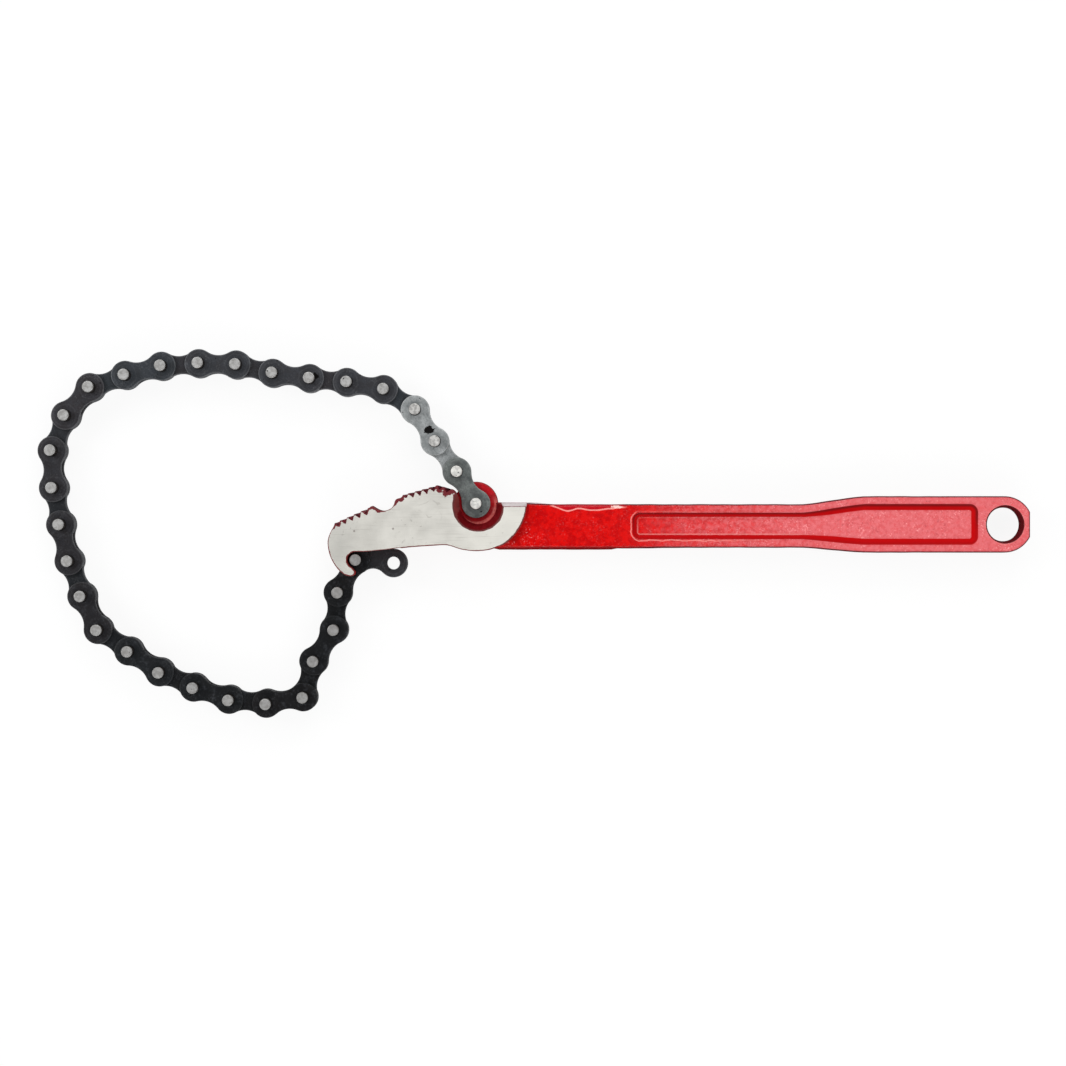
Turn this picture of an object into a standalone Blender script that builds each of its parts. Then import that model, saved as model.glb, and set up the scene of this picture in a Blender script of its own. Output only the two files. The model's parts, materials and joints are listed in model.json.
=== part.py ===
"""Chain pipe wrench: a forged handle with a toothed, hooked jaw, and a plate chain of thirty links.

The tool lies flat, as on a bench, with its chain laid in a loop and its last pin caught in the hook.
Lengths are in metres and angles in degrees. The drawing plane is the tool's middle plane: X runs along
the handle away from the jaw, Y across it, and the chain's anchor pin stands on the plane's origin.
"""

import math

import bmesh
import bpy
import numpy as np

# Chain plates and pins
LINK_PITCH = 0.015875
PLATE_HEIGHT = 0.0122
PLATE_WAIST = 0.0076
PLATE_THICKNESS = 0.0014
PLATE_SIDE_GAP = 0.0003
PIN_DIAMETER = 0.0048
PIN_OVERHANG = 0.0050
PIN_CHAMFER = 0.0004
PIN_HOLE_PLAY = 0.0006

# The loop that the chain lies in: each link's heading, from the anchor to the free end
LINK_HEADINGS = (
    121, 126, 122, 147, 169, 174, 172, 167, 178, 184, 194, 199, 229, 249, 272,
    281, 283, 290, 296, 325, 326, 336, 341, 354, 370, 434, 417, 444, 421, 355,
)

# Jaw: how far its nose reaches from the anchor, and how far its hook drops below it
JAW_REACH = 0.0625
JAW_DROP = 0.0308
HOOK_PLAY = 0.0011
SLOT_PLAY = 0.0005
SLOT_SIDE_GAP = 0.00035
FACE_SETBACK = 0.00025
TOOTH_PITCH = 0.0030
TOOTH_DEPTH = 0.0023
GULLET_SHARE = 0.94
GULLET_MOUTH_SHARE = 0.97
SKEW_SHARE = -0.50

# Anchor eye, its pocket in the head, and the round of the head behind it
EYE_PLAY = 0.0004
EYE_EDGE = 0.0007
POCKET_MARGIN = 0.0011
POCKET_SHIFT_X = 0.0010
POCKET_SHIFT_Y = -0.0010
POCKET_DRAFT_WIDTH = 0.0029
EXIT_PLAY = 0.0010
HEAD_RADIUS = 0.0215
HEAD_LIFT = 0.0006

# Handle
HANDLE_THICKNESS = 0.0100
NECK_WIDTH = 0.0185
NECK_DROP = 0.00947
GRIP_WIDTH = 0.0240
GRIP_DROP = 0.0088
SHOULDER_RISE = 0.0005
SHOULDER_BEVEL = 0.0015
SHOULDER_FLAT_X = 0.0216
SHOULDER_END_X = 0.0330
TAPER_START_X = 0.1389
TAPER_END_X = 0.1647
HANG_HOLE_X = 0.2241
HANG_HOLE_WALL = 0.00405
HANG_HOLE_CHAMFER = 0.0006
END_CUT = 0.0012
EDGE_ROUND = 0.0011
RECESS_START_X = 0.0654
RECESS_HOLE_GAP = 0.00395
RECESS_RIM = 0.0034
RECESS_DEPTH = 0.0018
RECESS_CORNER = 0.0034

# Every cutter runs past what it cuts by the overrun; an outline has no edge shorter than the least one
OVERRUN = 0.0020
LEAST_EDGE = 0.00006
MERGE_DISTANCE = 0.000001

# Facets of a round outline
PIN_SIDES = 12
PLATE_END_SEGMENTS = 7
PLATE_WAIST_SEGMENTS = 2
EYE_SIDES = 32
HANG_HOLE_SIDES = 24

# Jaw outline, as shares of the jaw's reach along X and of its drop along Y
HOOK_SEAT_SHARES = (-0.815, -0.774)
NOSE_SHARES = (
    (-0.824, -0.911), (-0.815, -0.938), (-0.822, -0.977), (-0.843, -0.997), (-0.869, -0.989),
    (-0.891, -0.969), (-0.928, -0.909), (-0.965, -0.802), (-0.989, -0.688), (-1.000, -0.565),
    (-0.998, -0.487), (-0.984, -0.406), (-0.970, -0.351), (-0.958, -0.305), (-0.952, -0.266),
)
FRONT_TEETH_SHARES = ((-0.952, -0.266), (-0.716, -0.052))
NOTCH_SHARES = (
    (-0.716, -0.052), (-0.702, -0.036), (-0.680, -0.062), (-0.645, -0.096), (-0.611, -0.099),
    (-0.570, -0.062), (-0.552, -0.010),
)
LUMP_SHARES = ((-0.552, -0.010), (-0.546, 0.036), (-0.533, 0.064), (-0.505, 0.082), (-0.491, 0.120))
BACK_TEETH_SHARES = ((-0.491, 0.120), (-0.258, 0.253))
HEEL_TEETH_SHARES = ((-0.258, 0.253), (-0.149, 0.192))
UNDERSIDE_SHARES = (
    (0.130, -0.604), (0.080, -0.633), (0.000, -0.648), (-0.072, -0.635), (-0.115, -0.617),
    (-0.198, -0.567), (-0.296, -0.573), (-0.458, -0.596), (-0.619, -0.634), (-0.744, -0.659),
)
HOOK_CUP_ARC = (100, 245)
HEAD_ARC_START = -57

# Sizes that follow from the ones above
PLATE_RADIUS = PLATE_HEIGHT / 2
PIN_RADIUS = PIN_DIAMETER / 2
PIN_HOLE_RADIUS = (PIN_DIAMETER + PIN_HOLE_PLAY) / 2
INNER_PLATE_Z = (PLATE_SIDE_GAP + PLATE_THICKNESS) / 2
OUTER_PLATE_Z = INNER_PLATE_Z + PLATE_THICKNESS + PLATE_SIDE_GAP
STACK_HALF = OUTER_PLATE_Z + PLATE_THICKNESS / 2
PIN_HALF = STACK_HALF + PIN_OVERHANG
HEAD_HALF = PIN_HALF + FACE_SETBACK
HANDLE_HALF = HANDLE_THICKNESS / 2
EYE_HALF = OUTER_PLATE_Z - PLATE_THICKNESS / 2 - PLATE_SIDE_GAP
EYE_RADIUS = LINK_PITCH - PLATE_RADIUS - EYE_PLAY
POCKET_RIM_RADIUS = EYE_RADIUS + POCKET_MARGIN
POCKET_FLOOR_RADIUS = POCKET_RIM_RADIUS - POCKET_DRAFT_WIDTH
SLOT_RADIUS = PLATE_RADIUS + SLOT_PLAY
SLOT_HALF = STACK_HALF + SLOT_SIDE_GAP
HOOK_CUP_RADIUS = PIN_RADIUS + HOOK_PLAY
NECK_TOP = NECK_WIDTH / 2 - NECK_DROP
NECK_BOTTOM = -NECK_WIDTH / 2 - NECK_DROP
SHOULDER_TOP = NECK_TOP + SHOULDER_RISE
GRIP_TOP = GRIP_WIDTH / 2 - GRIP_DROP
HANG_HOLE_RADIUS = GRIP_WIDTH / 2 - HANG_HOLE_WALL
RECESS_END_X = HANG_HOLE_X - HANG_HOLE_RADIUS - RECESS_HOLE_GAP
GRIP_BOTTOM = -GRIP_WIDTH / 2 - GRIP_DROP

RED_PAINT = (0.62, 0.012, 0.010, 1)
DARK_STEEL = (0.040, 0.041, 0.044, 1)
GREY_STEEL = (0.16, 0.165, 0.17, 1)
PALE_STEEL = (0.30, 0.31, 0.31, 1)


def clear_scene():
    for obj in list(bpy.data.objects):
        bpy.data.objects.remove(obj)


def new_collection(name):
    collection = bpy.data.collections.new(name)
    bpy.context.scene.collection.children.link(collection)
    return collection


def finish(obj, colour, roughness, metallic):
    """A material of the object's own, kept on the object so that pieces can share a mesh."""
    material = bpy.data.materials.new(obj.name + "_finish")
    material.use_nodes = True
    shader = material.node_tree.nodes["Principled BSDF"]
    shader.inputs["Base Color"].default_value = colour
    shader.inputs["Roughness"].default_value = roughness
    shader.inputs["Metallic"].default_value = metallic
    if not obj.data.materials:
        obj.data.materials.append(None)
    obj.material_slots[0].link = "OBJECT"
    obj.material_slots[0].material = material


def at_jaw(shares):
    return (shares[0] * JAW_REACH, shares[1] * JAW_DROP)


def arc(centre, radius, start, end, segments):
    """Points on a circle, both ends included."""
    angles = np.radians(np.linspace(start, end, segments + 1))
    return [(centre[0] + radius * math.cos(a), centre[1] + radius * math.sin(a)) for a in angles]


def smooth(points, steps):
    """A smooth line through the points, with this many steps between neighbours."""
    ends = [points[0]] + list(points) + [points[-1]]
    line = []
    for a, b, c, d in zip(ends, ends[1:], ends[2:], ends[3:]):
        for t in np.arange(steps) / steps:
            line.append(tuple(
                b[i] + (c[i] - a[i]) * t / 2
                + (a[i] - 2.5 * b[i] + 2 * c[i] - d[i] / 2) * t ** 2
                + (1.5 * b[i] - a[i] / 2 - 1.5 * c[i] + d[i] / 2) * t ** 3
                for i in (0, 1)
            ))
    return line + [tuple(points[-1])]


def without_repeats(outline):
    kept = []
    for point in outline:
        if not kept or math.dist(point, kept[-1]) > LEAST_EDGE:
            kept.append(point)
    return kept[:-1] if math.dist(kept[0], kept[-1]) < LEAST_EDGE else kept


def slab(name, outlines, half_thickness, z=0.0, slope=0.0):
    """A flat plate between closed outlines. With a slope, its edges flare out by that much."""
    curve = bpy.data.curves.new(name, "CURVE")
    curve.dimensions = "2D"
    curve.fill_mode = "BOTH"
    curve.extrude = half_thickness - slope
    curve.bevel_depth = slope
    curve.bevel_resolution = 0
    for outline in outlines:
        spline = curve.splines.new("POLY")
        spline.points.add(len(outline) - 1)
        for point, place in zip(spline.points, outline):
            point.co = (place[0], place[1], 0, 1)
        spline.use_cyclic_u = True
    drawn = bpy.data.objects.new(name + "_drawn", curve)
    bpy.context.scene.collection.objects.link(drawn)
    drawn.location.z = z
    bpy.context.view_layer.update()
    graph = bpy.context.evaluated_depsgraph_get()
    mesh = bpy.data.meshes.new_from_object(drawn.evaluated_get(graph))
    weld(mesh)
    solid = bpy.data.objects.new(name, mesh)
    solid.matrix_world = drawn.matrix_world
    bpy.data.objects.remove(drawn)
    return solid


def weld(mesh):
    work = bmesh.new()
    work.from_mesh(mesh)
    bmesh.ops.remove_doubles(work, verts=work.verts, dist=MERGE_DISTANCE)
    bmesh.ops.recalc_face_normals(work, faces=work.faces)
    work.to_mesh(mesh)
    work.free()


def turned(name, profile, sides):
    """A shape turned about Z from its profile, which runs down its outer side from the axis to the axis."""
    mesh = bpy.data.meshes.new(name)
    work = bmesh.new()
    corners = [work.verts.new((radius, 0, z)) for radius, z in profile]
    for first, second in zip(corners, corners[1:]):
        work.edges.new((first, second))
    work.to_mesh(mesh)
    work.free()
    solid = bpy.data.objects.new(name, mesh)
    screw = solid.modifiers.new("turn", "SCREW")
    screw.steps = sides
    screw.render_steps = sides
    screw.use_merge_vertices = True
    screw.merge_threshold = MERGE_DISTANCE
    screw.use_smooth_shade = True
    return solid


def as_helper(obj):
    """A cutter or a building block: kept in the file, left out of the tool."""
    helpers.objects.link(obj)
    obj.hide_render = True
    obj.display_type = "WIRE"
    return obj


def combine(target, shape, operation):
    """Joins the shape to the target or cuts it out, and lets it ride with the target."""
    shape.parent = target
    modifier = target.modifiers.new(shape.name, "BOOLEAN")
    modifier.operation = operation
    modifier.solver = "EXACT"
    modifier.object = shape


def round_looking(mesh):
    mesh.shade_smooth()
    mesh.set_sharp_from_angle(angle=math.radians(30))


def settled_mesh(obj, name):
    """The object's finished mesh, with its modifiers worked in, for several pieces to share."""
    bpy.context.view_layer.update()
    graph = bpy.context.evaluated_depsgraph_get()
    mesh = bpy.data.meshes.new_from_object(obj.evaluated_get(graph))
    mesh.name = name
    mesh.materials.clear()
    round_looking(mesh)
    return mesh


def pins_of(headings):
    """Where each pin stands, from the anchor pin to the hole of the free end."""
    pins = [np.zeros(2)]
    for heading in np.radians(headings):
        pins.append(pins[-1] + LINK_PITCH * np.array((math.cos(heading), math.sin(heading))))
    return np.array(pins)


def hooked(headings):
    """The headings, each turned a little, so that the last link's first pin lies in the hook."""
    seat = np.array(at_jaw(HOOK_SEAT_SHARES))
    headings = np.radians(headings)
    pulling = len(headings) - 1
    for _ in range(8):
        miss = seat - pins_of(np.degrees(headings))[pulling]
        moves = LINK_PITCH * np.array((-np.sin(headings[:pulling]), np.cos(headings[:pulling])))
        headings[:pulling] += moves.T @ np.linalg.solve(moves @ moves.T, miss)
    return np.degrees(headings)


def plate_outline(extra=0.0):
    """A waisted chain plate from pin to pin: two round ends and two hollow sides that touch them."""
    end = PLATE_RADIUS + extra
    waist = PLATE_WAIST / 2 + extra
    half = LINK_PITCH / 2
    hollow = (half ** 2 + waist ** 2 - end ** 2) / (2 * (end - waist))
    lean = math.degrees(math.atan2(waist + hollow, half))
    outline = arc((0, 0), end, lean, 360 - lean, PLATE_END_SEGMENTS)
    outline += arc((half, -waist - hollow), hollow, 180 - lean, lean, PLATE_WAIST_SEGMENTS)[1:-1]
    outline += arc((LINK_PITCH, 0), end, lean - 180, 180 - lean, PLATE_END_SEGMENTS)
    outline += arc((half, waist + hollow), hollow, -lean, lean - 180, PLATE_WAIST_SEGMENTS)[1:-1]
    return outline


def pin_profile():
    return (
        (0, PIN_HALF), (PIN_RADIUS - PIN_CHAMFER, PIN_HALF), (PIN_RADIUS, PIN_HALF - PIN_CHAMFER),
        (PIN_RADIUS, PIN_CHAMFER - PIN_HALF), (PIN_RADIUS - PIN_CHAMFER, -PIN_HALF), (0, -PIN_HALF),
    )


def outer_link_mesh():
    """Two plates riveted on two pins that stand out on both sides."""
    link = as_helper(slab("outer_link_upper_plate", [plate_outline()], PLATE_THICKNESS / 2, OUTER_PLATE_Z))
    lower = as_helper(slab("outer_link_lower_plate", [plate_outline()], PLATE_THICKNESS / 2, -OUTER_PLATE_Z))
    near_pin = as_helper(turned("outer_link_near_pin", pin_profile(), PIN_SIDES))
    far_pin = as_helper(turned("outer_link_far_pin", pin_profile(), PIN_SIDES))
    far_pin.location.x = LINK_PITCH
    link.data.transform(link.matrix_world)
    link.matrix_world.identity()
    for shape in (near_pin, lower, far_pin):
        combine(link, shape, "UNION")
    return settled_mesh(link, "outer_link")


def inner_plate_mesh():
    holes = [arc((x, 0), PIN_HOLE_RADIUS, 0, 360, PIN_SIDES)[:-1] for x in (0, LINK_PITCH)]
    plate = as_helper(slab("inner_plate_pattern", [plate_outline()] + holes, PLATE_THICKNESS / 2))
    return settled_mesh(plate, "inner_plate")


def jaw_outline():
    """The head seen from above, run counter-clockwise from the heel of the teeth."""
    seat = at_jaw(HOOK_SEAT_SHARES)
    centre = (0, HEAD_LIFT)
    outline = [at_jaw(HEEL_TEETH_SHARES[1]), at_jaw(HEEL_TEETH_SHARES[0])]
    outline += [at_jaw(BACK_TEETH_SHARES[0])]
    outline += smooth([at_jaw(s) for s in reversed(LUMP_SHARES)], 2)[1:]
    outline += smooth([at_jaw(s) for s in reversed(NOTCH_SHARES)], 2)[1:]
    outline += smooth([at_jaw(s) for s in reversed(NOSE_SHARES)], 2)
    outline += arc(seat, HOOK_CUP_RADIUS, HOOK_CUP_ARC[1], HOOK_CUP_ARC[0], 10)
    outline += smooth([at_jaw(s) for s in reversed(UNDERSIDE_SHARES)], 1)
    shoulder_angle = math.degrees(math.asin((SHOULDER_TOP - HEAD_LIFT) / HEAD_RADIUS))
    outline += arc(centre, HEAD_RADIUS, HEAD_ARC_START, shoulder_angle, 8)
    return without_repeats(outline + [(POCKET_FLOOR_RADIUS / 2, SHOULDER_TOP)])


def slot_outline(headings):
    """The room that the chain's plates need between the two prongs of the hook."""
    seat = np.array(at_jaw(HOOK_SEAT_SHARES))
    free_end, pulled = headings[-1], headings[-2]
    reach = JAW_REACH
    edge = arc(seat, SLOT_RADIUS, free_end - 270, pulled - 270, 8)
    along = {h: reach * np.array((math.cos(math.radians(h)), math.sin(math.radians(h)))) for h in headings[-2:]}
    outline = [tuple(np.array(edge[0]) + along[free_end])] + edge
    outline += [tuple(np.array(edge[-1]) - along[pulled])]
    outline += [tuple(seat + along[free_end] - along[pulled])]
    return outline


def handle_edge(side):
    """One long edge of the handle, from the head to the hang hole. The side is 1 for the top edge."""
    neck = NECK_TOP if side > 0 else NECK_BOTTOM
    grip = GRIP_TOP if side > 0 else GRIP_BOTTOM
    blend = [
        (TAPER_START_X + (TAPER_END_X - TAPER_START_X) * t, neck + (grip - neck) * (1 - math.cos(math.pi * t)) / 2)
        for t in np.linspace(0, 1, 7)
    ]
    return blend + [(HANG_HOLE_X, grip)]


def handle_outline():
    tip_radius = GRIP_WIDTH / 2
    flat_angle = math.degrees(math.acos(1 - END_CUT / tip_radius))
    centre = (HANG_HOLE_X, -GRIP_DROP)
    outline = [(0, NECK_BOTTOM)] + handle_edge(-1)
    outline += arc(centre, tip_radius, -90, -flat_angle, 7) + arc(centre, tip_radius, flat_angle, 90, 7)
    outline += handle_edge(1)[::-1]
    outline += [(SHOULDER_END_X, NECK_TOP), (SHOULDER_FLAT_X, SHOULDER_TOP), (0, SHOULDER_TOP)]
    return without_repeats(outline)


def recess_outline():
    """The floor of the sunk panel, a rim's width and the sloped wall inside the handle's outline."""
    inset = RECESS_RIM + RECESS_DEPTH
    corner = RECESS_CORNER - RECESS_DEPTH
    left, right = RECESS_START_X + RECESS_DEPTH, RECESS_END_X - RECESS_DEPTH
    low, high = GRIP_BOTTOM + inset, GRIP_TOP - inset
    neck_low, neck_high = NECK_BOTTOM + inset, NECK_TOP - inset
    outline = arc((left + corner, neck_low + corner), corner, 180, 270, 3)
    outline += [(x, y + inset) for x, y in handle_edge(-1)[:-1]]
    outline += arc((right - corner, low + corner), corner, 270, 360, 3)
    outline += arc((right - corner, high - corner), corner, 0, 90, 3)
    outline += [(x, y - inset) for x, y in handle_edge(1)[:-1][::-1]]
    outline += arc((left + corner, neck_high - corner), corner, 90, 180, 3)
    return without_repeats(outline)


def gullets(name, row):
    """The V-shaped gullets of one row of teeth. They lean along the row, so the teeth run askew."""
    start, end = np.array(at_jaw(row[0])), np.array(at_jaw(row[1]))
    length = math.dist(start, end)
    count = round(length / TOOTH_PITCH)
    pitch = length / count
    mouth = pitch * GULLET_MOUTH_SHARE / 2
    rise = TOOTH_DEPTH * (GULLET_MOUTH_SHARE / GULLET_SHARE - 1)
    outlines = []
    for number in range(count):
        middle = pitch * (number + 0.5) - length / 2
        outlines.append([
            (middle, -TOOTH_DEPTH), (middle + mouth, rise), (middle + mouth, OVERRUN),
            (middle - mouth, OVERRUN), (middle - mouth, rise),
        ])
    cutter = slab(name, outlines, HEAD_HALF + OVERRUN)
    cutter.location = (*(start + end) / 2, 0)
    cutter.rotation_euler.y = math.atan2(pitch * SKEW_SHARE, 2 * HEAD_HALF)
    cutter.rotation_euler.z = math.atan2(*(end - start)[::-1])
    return as_helper(cutter)


def handle_bar():
    """The handle with its rounded edges, a sunk panel on each face, and the hang hole."""
    bar = as_helper(slab("handle_bar", [handle_outline()], HANDLE_HALF))
    rounded = bar.modifiers.new("edges", "BEVEL")
    rounded.width = EDGE_ROUND
    rounded.segments = 2
    rounded.limit_method = "ANGLE"
    rounded.angle_limit = math.radians(60)

    floor_z = HANDLE_HALF - RECESS_DEPTH
    recess_half = (RECESS_DEPTH + OVERRUN + RECESS_DEPTH) / 2
    for side, z in (("upper", floor_z + recess_half), ("lower", -floor_z - recess_half)):
        recess = as_helper(slab("recess_" + side, [recess_outline()], recess_half, z, RECESS_DEPTH))
        combine(bar, recess, "DIFFERENCE")

    flare = HANG_HOLE_RADIUS + HANG_HOLE_CHAMFER + OVERRUN
    hole_profile = (
        (0, HANDLE_HALF + OVERRUN), (flare, HANDLE_HALF + OVERRUN),
        (HANG_HOLE_RADIUS, HANDLE_HALF - HANG_HOLE_CHAMFER),
        (HANG_HOLE_RADIUS, HANG_HOLE_CHAMFER - HANDLE_HALF),
        (flare, -HANDLE_HALF - OVERRUN), (0, -HANDLE_HALF - OVERRUN),
    )
    hang_hole = as_helper(turned("hang_hole", hole_profile, HANG_HOLE_SIDES))
    hang_hole.location = (HANG_HOLE_X, -GRIP_DROP, 0)
    combine(bar, hang_hole, "DIFFERENCE")
    return bar


def wrench_body(headings):
    """The forging: handle, head with the anchor eye in its pocket, toothed jaw and forked hook."""
    body = slab("wrench_body", [jaw_outline()], HEAD_HALF)
    combine(body, handle_bar(), "UNION")

    top = HEAD_HALF + OVERRUN
    draft = POCKET_DRAFT_WIDTH / (HEAD_HALF - EYE_HALF)
    pocket_profile = (
        (0, top), (POCKET_FLOOR_RADIUS + draft * (top - EYE_HALF), top), (POCKET_FLOOR_RADIUS, EYE_HALF),
        (POCKET_FLOOR_RADIUS, -EYE_HALF), (POCKET_FLOOR_RADIUS + draft * (top - EYE_HALF), -top), (0, -top),
    )
    pocket = as_helper(turned("anchor_pocket", pocket_profile, EYE_SIDES))
    pocket.location = (POCKET_SHIFT_X, POCKET_SHIFT_Y, 0)
    combine(body, pocket, "DIFFERENCE")
    way_out = as_helper(slab("first_link_way_out", [plate_outline(EXIT_PLAY)], top))
    way_out.rotation_euler.z = math.radians(headings[0])
    combine(body, way_out, "DIFFERENCE")

    eye_profile = (
        (0, EYE_HALF), (EYE_RADIUS - EYE_EDGE, EYE_HALF), (EYE_RADIUS, EYE_HALF - EYE_EDGE),
        (EYE_RADIUS, EYE_EDGE - EYE_HALF), (EYE_RADIUS - EYE_EDGE, -EYE_HALF), (0, -EYE_HALF),
    )
    combine(body, as_helper(turned("anchor_eye", eye_profile, EYE_SIDES)), "UNION")

    for side, up in (("upper", 1), ("lower", -1)):
        ground = [
            (SHOULDER_TOP - SHOULDER_BEVEL - OVERRUN, up * (HEAD_HALF + OVERRUN)),
            (SHOULDER_TOP + OVERRUN, up * (HEAD_HALF - SHOULDER_BEVEL - OVERRUN)),
            (SHOULDER_TOP + OVERRUN, up * (HEAD_HALF + OVERRUN)),
        ]
        ground_edge = as_helper(slab("ground_edge_" + side, [ground], SHOULDER_END_X / 2))
        ground_edge.rotation_euler = (math.pi / 2, 0, math.pi / 2)
        ground_edge.location.x = SHOULDER_END_X / 2
        combine(body, ground_edge, "DIFFERENCE")

    bore = arc((0, 0), PIN_HOLE_RADIUS, 0, 360, PIN_SIDES)[:-1]
    combine(body, as_helper(slab("anchor_bore", [bore], EYE_HALF + OVERRUN)), "DIFFERENCE")

    slot = as_helper(slab("hook_slot", [slot_outline(headings)], SLOT_HALF))
    combine(body, slot, "DIFFERENCE")

    combine(body, gullets("front_gullets", FRONT_TEETH_SHARES), "DIFFERENCE")
    combine(body, gullets("back_gullets", BACK_TEETH_SHARES), "DIFFERENCE")
    combine(body, gullets("heel_gullets", HEEL_TEETH_SHARES), "DIFFERENCE")

    wrench.objects.link(body)
    finish(body, RED_PAINT, 0.35, 0.0)
    return body


def chain(headings, root):
    """The links, each hung on the one before it by the pin that they share."""
    outer_mesh = outer_link_mesh()
    inner_mesh = inner_plate_mesh()
    carrier, carrier_heading = root, 0
    for number, heading in enumerate(headings, 1):
        if number % 2:
            pieces = [("outer_link_%02d" % number, outer_mesh, 0)]
        else:
            pieces = [
                ("inner_plate_%02d_upper" % number, inner_mesh, INNER_PLATE_Z),
                ("inner_plate_%02d_lower" % number, inner_mesh, -INNER_PLATE_Z),
            ]
        hinge = bpy.data.objects.new("chain_hinge_%02d" % number, None)
        hinge.empty_display_size = PLATE_RADIUS
        wrench.objects.link(hinge)
        hinge.parent = carrier
        hinge.location.x = LINK_PITCH if number > 1 else 0
        hinge.rotation_euler.z = math.radians(heading - carrier_heading)
        for name, mesh, z in pieces:
            piece = bpy.data.objects.new(name, mesh)
            wrench.objects.link(piece)
            piece.parent = hinge
            piece.location.z = z
            if number in (2, 3):
                finish(piece, PALE_STEEL, 0.45, 0.8)
            elif number == 1:
                finish(piece, GREY_STEEL, 0.45, 0.8)
            else:
                finish(piece, DARK_STEEL, 0.45, 0.8)
        carrier, carrier_heading = hinge, heading


def set_down(root):
    """Moves the whole tool so that the middle of its footprint, on the bench, is the origin."""
    bpy.context.view_layer.update()
    graph = bpy.context.evaluated_depsgraph_get()
    corners = []
    for obj in wrench.objects:
        if obj.type != "MESH":
            continue
        finished = obj.evaluated_get(graph)
        place = np.array(finished.matrix_world)
        points = np.empty(len(finished.data.vertices) * 3)
        finished.data.vertices.foreach_get("co", points)
        corners.append(points.reshape(-1, 3) @ place[:3, :3].T + place[:3, 3])
    low, high = np.vstack(corners).min(axis=0), np.vstack(corners).max(axis=0)
    root.location = (-(low[0] + high[0]) / 2, -(low[1] + high[1]) / 2, -low[2])


clear_scene()
wrench = new_collection("chain_wrench")
helpers = new_collection("chain_wrench_helpers")
origin = bpy.data.objects.new("tool_origin", None)
wrench.objects.link(origin)
link_headings = hooked(LINK_HEADINGS)
wrench_body(link_headings).parent = origin
chain(link_headings, origin)
set_down(origin)
bpy.context.view_layer.update()
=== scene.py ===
import json
import math

import bmesh
import bpy
import numpy as np
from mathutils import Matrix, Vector, geometry, kdtree


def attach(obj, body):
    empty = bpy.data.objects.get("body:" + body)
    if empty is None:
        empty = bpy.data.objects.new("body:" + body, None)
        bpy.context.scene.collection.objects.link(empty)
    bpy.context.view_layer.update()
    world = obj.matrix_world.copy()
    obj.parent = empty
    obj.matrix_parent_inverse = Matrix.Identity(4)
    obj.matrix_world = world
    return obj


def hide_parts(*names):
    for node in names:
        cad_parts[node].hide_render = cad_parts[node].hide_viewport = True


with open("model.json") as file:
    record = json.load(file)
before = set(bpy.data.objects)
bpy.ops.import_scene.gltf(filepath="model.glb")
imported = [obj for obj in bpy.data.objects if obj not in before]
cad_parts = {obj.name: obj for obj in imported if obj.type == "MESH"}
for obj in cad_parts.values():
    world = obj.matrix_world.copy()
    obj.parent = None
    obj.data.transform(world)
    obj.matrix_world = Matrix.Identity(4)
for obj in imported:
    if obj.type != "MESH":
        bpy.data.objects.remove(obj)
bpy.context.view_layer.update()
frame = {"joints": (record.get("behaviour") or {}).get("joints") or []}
joints = sorted(frame["joints"], key=lambda joint: joint["name"])
pivots = [np.array(joint["pos_m"]) for joint in joints]
anchor = pivots[0]

# The forging: handle, head with the anchor eye in its pocket, toothed jaw and forked hook, all one piece
# of drop-forged steel. The handle, the sides and the pocket are painted red; both faces of the head are
# ground bare after painting, and a thin flash line of the forging dies runs round its sides.
JAW_REACH, JAW_DROP = 0.0625, 0.0308
HEAD_HALF, HEAD_RADIUS = 0.0085, 0.0215
HEAD_LIFT, HEAD_TOP = 0.0006, 0.0004
HEAD_TOP_ANGLE, HEAD_LOW_ANGLE = math.degrees(math.asin((HEAD_TOP - HEAD_LIFT) / HEAD_RADIUS)), -57
STEP_END = (0.0038, HEAD_TOP)
HOOK_SEAT_SHARES = (-0.815, -0.774)
HOOK_CUP_RADIUS, HOOK_CUP_ANGLES = 0.0035, (245, 100)
NOSE_SHARES = (
    (-0.824, -0.911), (-0.815, -0.938), (-0.822, -0.977), (-0.843, -0.997), (-0.869, -0.989),
    (-0.891, -0.969), (-0.928, -0.909), (-0.965, -0.802), (-0.989, -0.688), (-1.000, -0.565),
    (-0.998, -0.487), (-0.984, -0.406), (-0.970, -0.351), (-0.958, -0.305), (-0.952, -0.266),
)
FRONT_TEETH_SHARES = ((-0.952, -0.266), (-0.716, -0.052))
NOTCH_SHARES = (
    (-0.716, -0.052), (-0.702, -0.036), (-0.680, -0.062), (-0.645, -0.096), (-0.611, -0.099),
    (-0.570, -0.062), (-0.552, -0.010),
)
LUMP_SHARES = ((-0.552, -0.010), (-0.546, 0.036), (-0.533, 0.064), (-0.505, 0.082), (-0.491, 0.120))
BACK_TEETH_SHARES = ((-0.491, 0.120), (-0.258, 0.253))
HEEL_TEETH_SHARES = ((-0.258, 0.253), (-0.149, 0.192))
UNDERSIDE_SHARES = (
    (0.130, -0.604), (0.080, -0.633), (0.000, -0.648), (-0.072, -0.635), (-0.115, -0.617),
    (-0.198, -0.567), (-0.296, -0.573), (-0.458, -0.596), (-0.619, -0.634), (-0.744, -0.659),
)
TOOTH_PITCH, TOOTH_DEPTH, TOOTH_STEPS = 0.0030, 0.0023, 16
GULLET_SHARE, ROW_FADE = 0.94, 0.0012
# how far the rows slide at the upper and the lower face, in pitches
UPPER_SLIDE, LOWER_SLIDE = -0.25, 0.75
FACE_EASE, TOOTH_EASE_SHARE = 0.00024, 0.3
FLASH_RISE, FLASH_HALF = 0.00022, 0.0005
LEVEL_STEP = 0.0009


def on_jaw(share):
    return (share[0] * JAW_REACH, share[1] * JAW_DROP)


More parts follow.
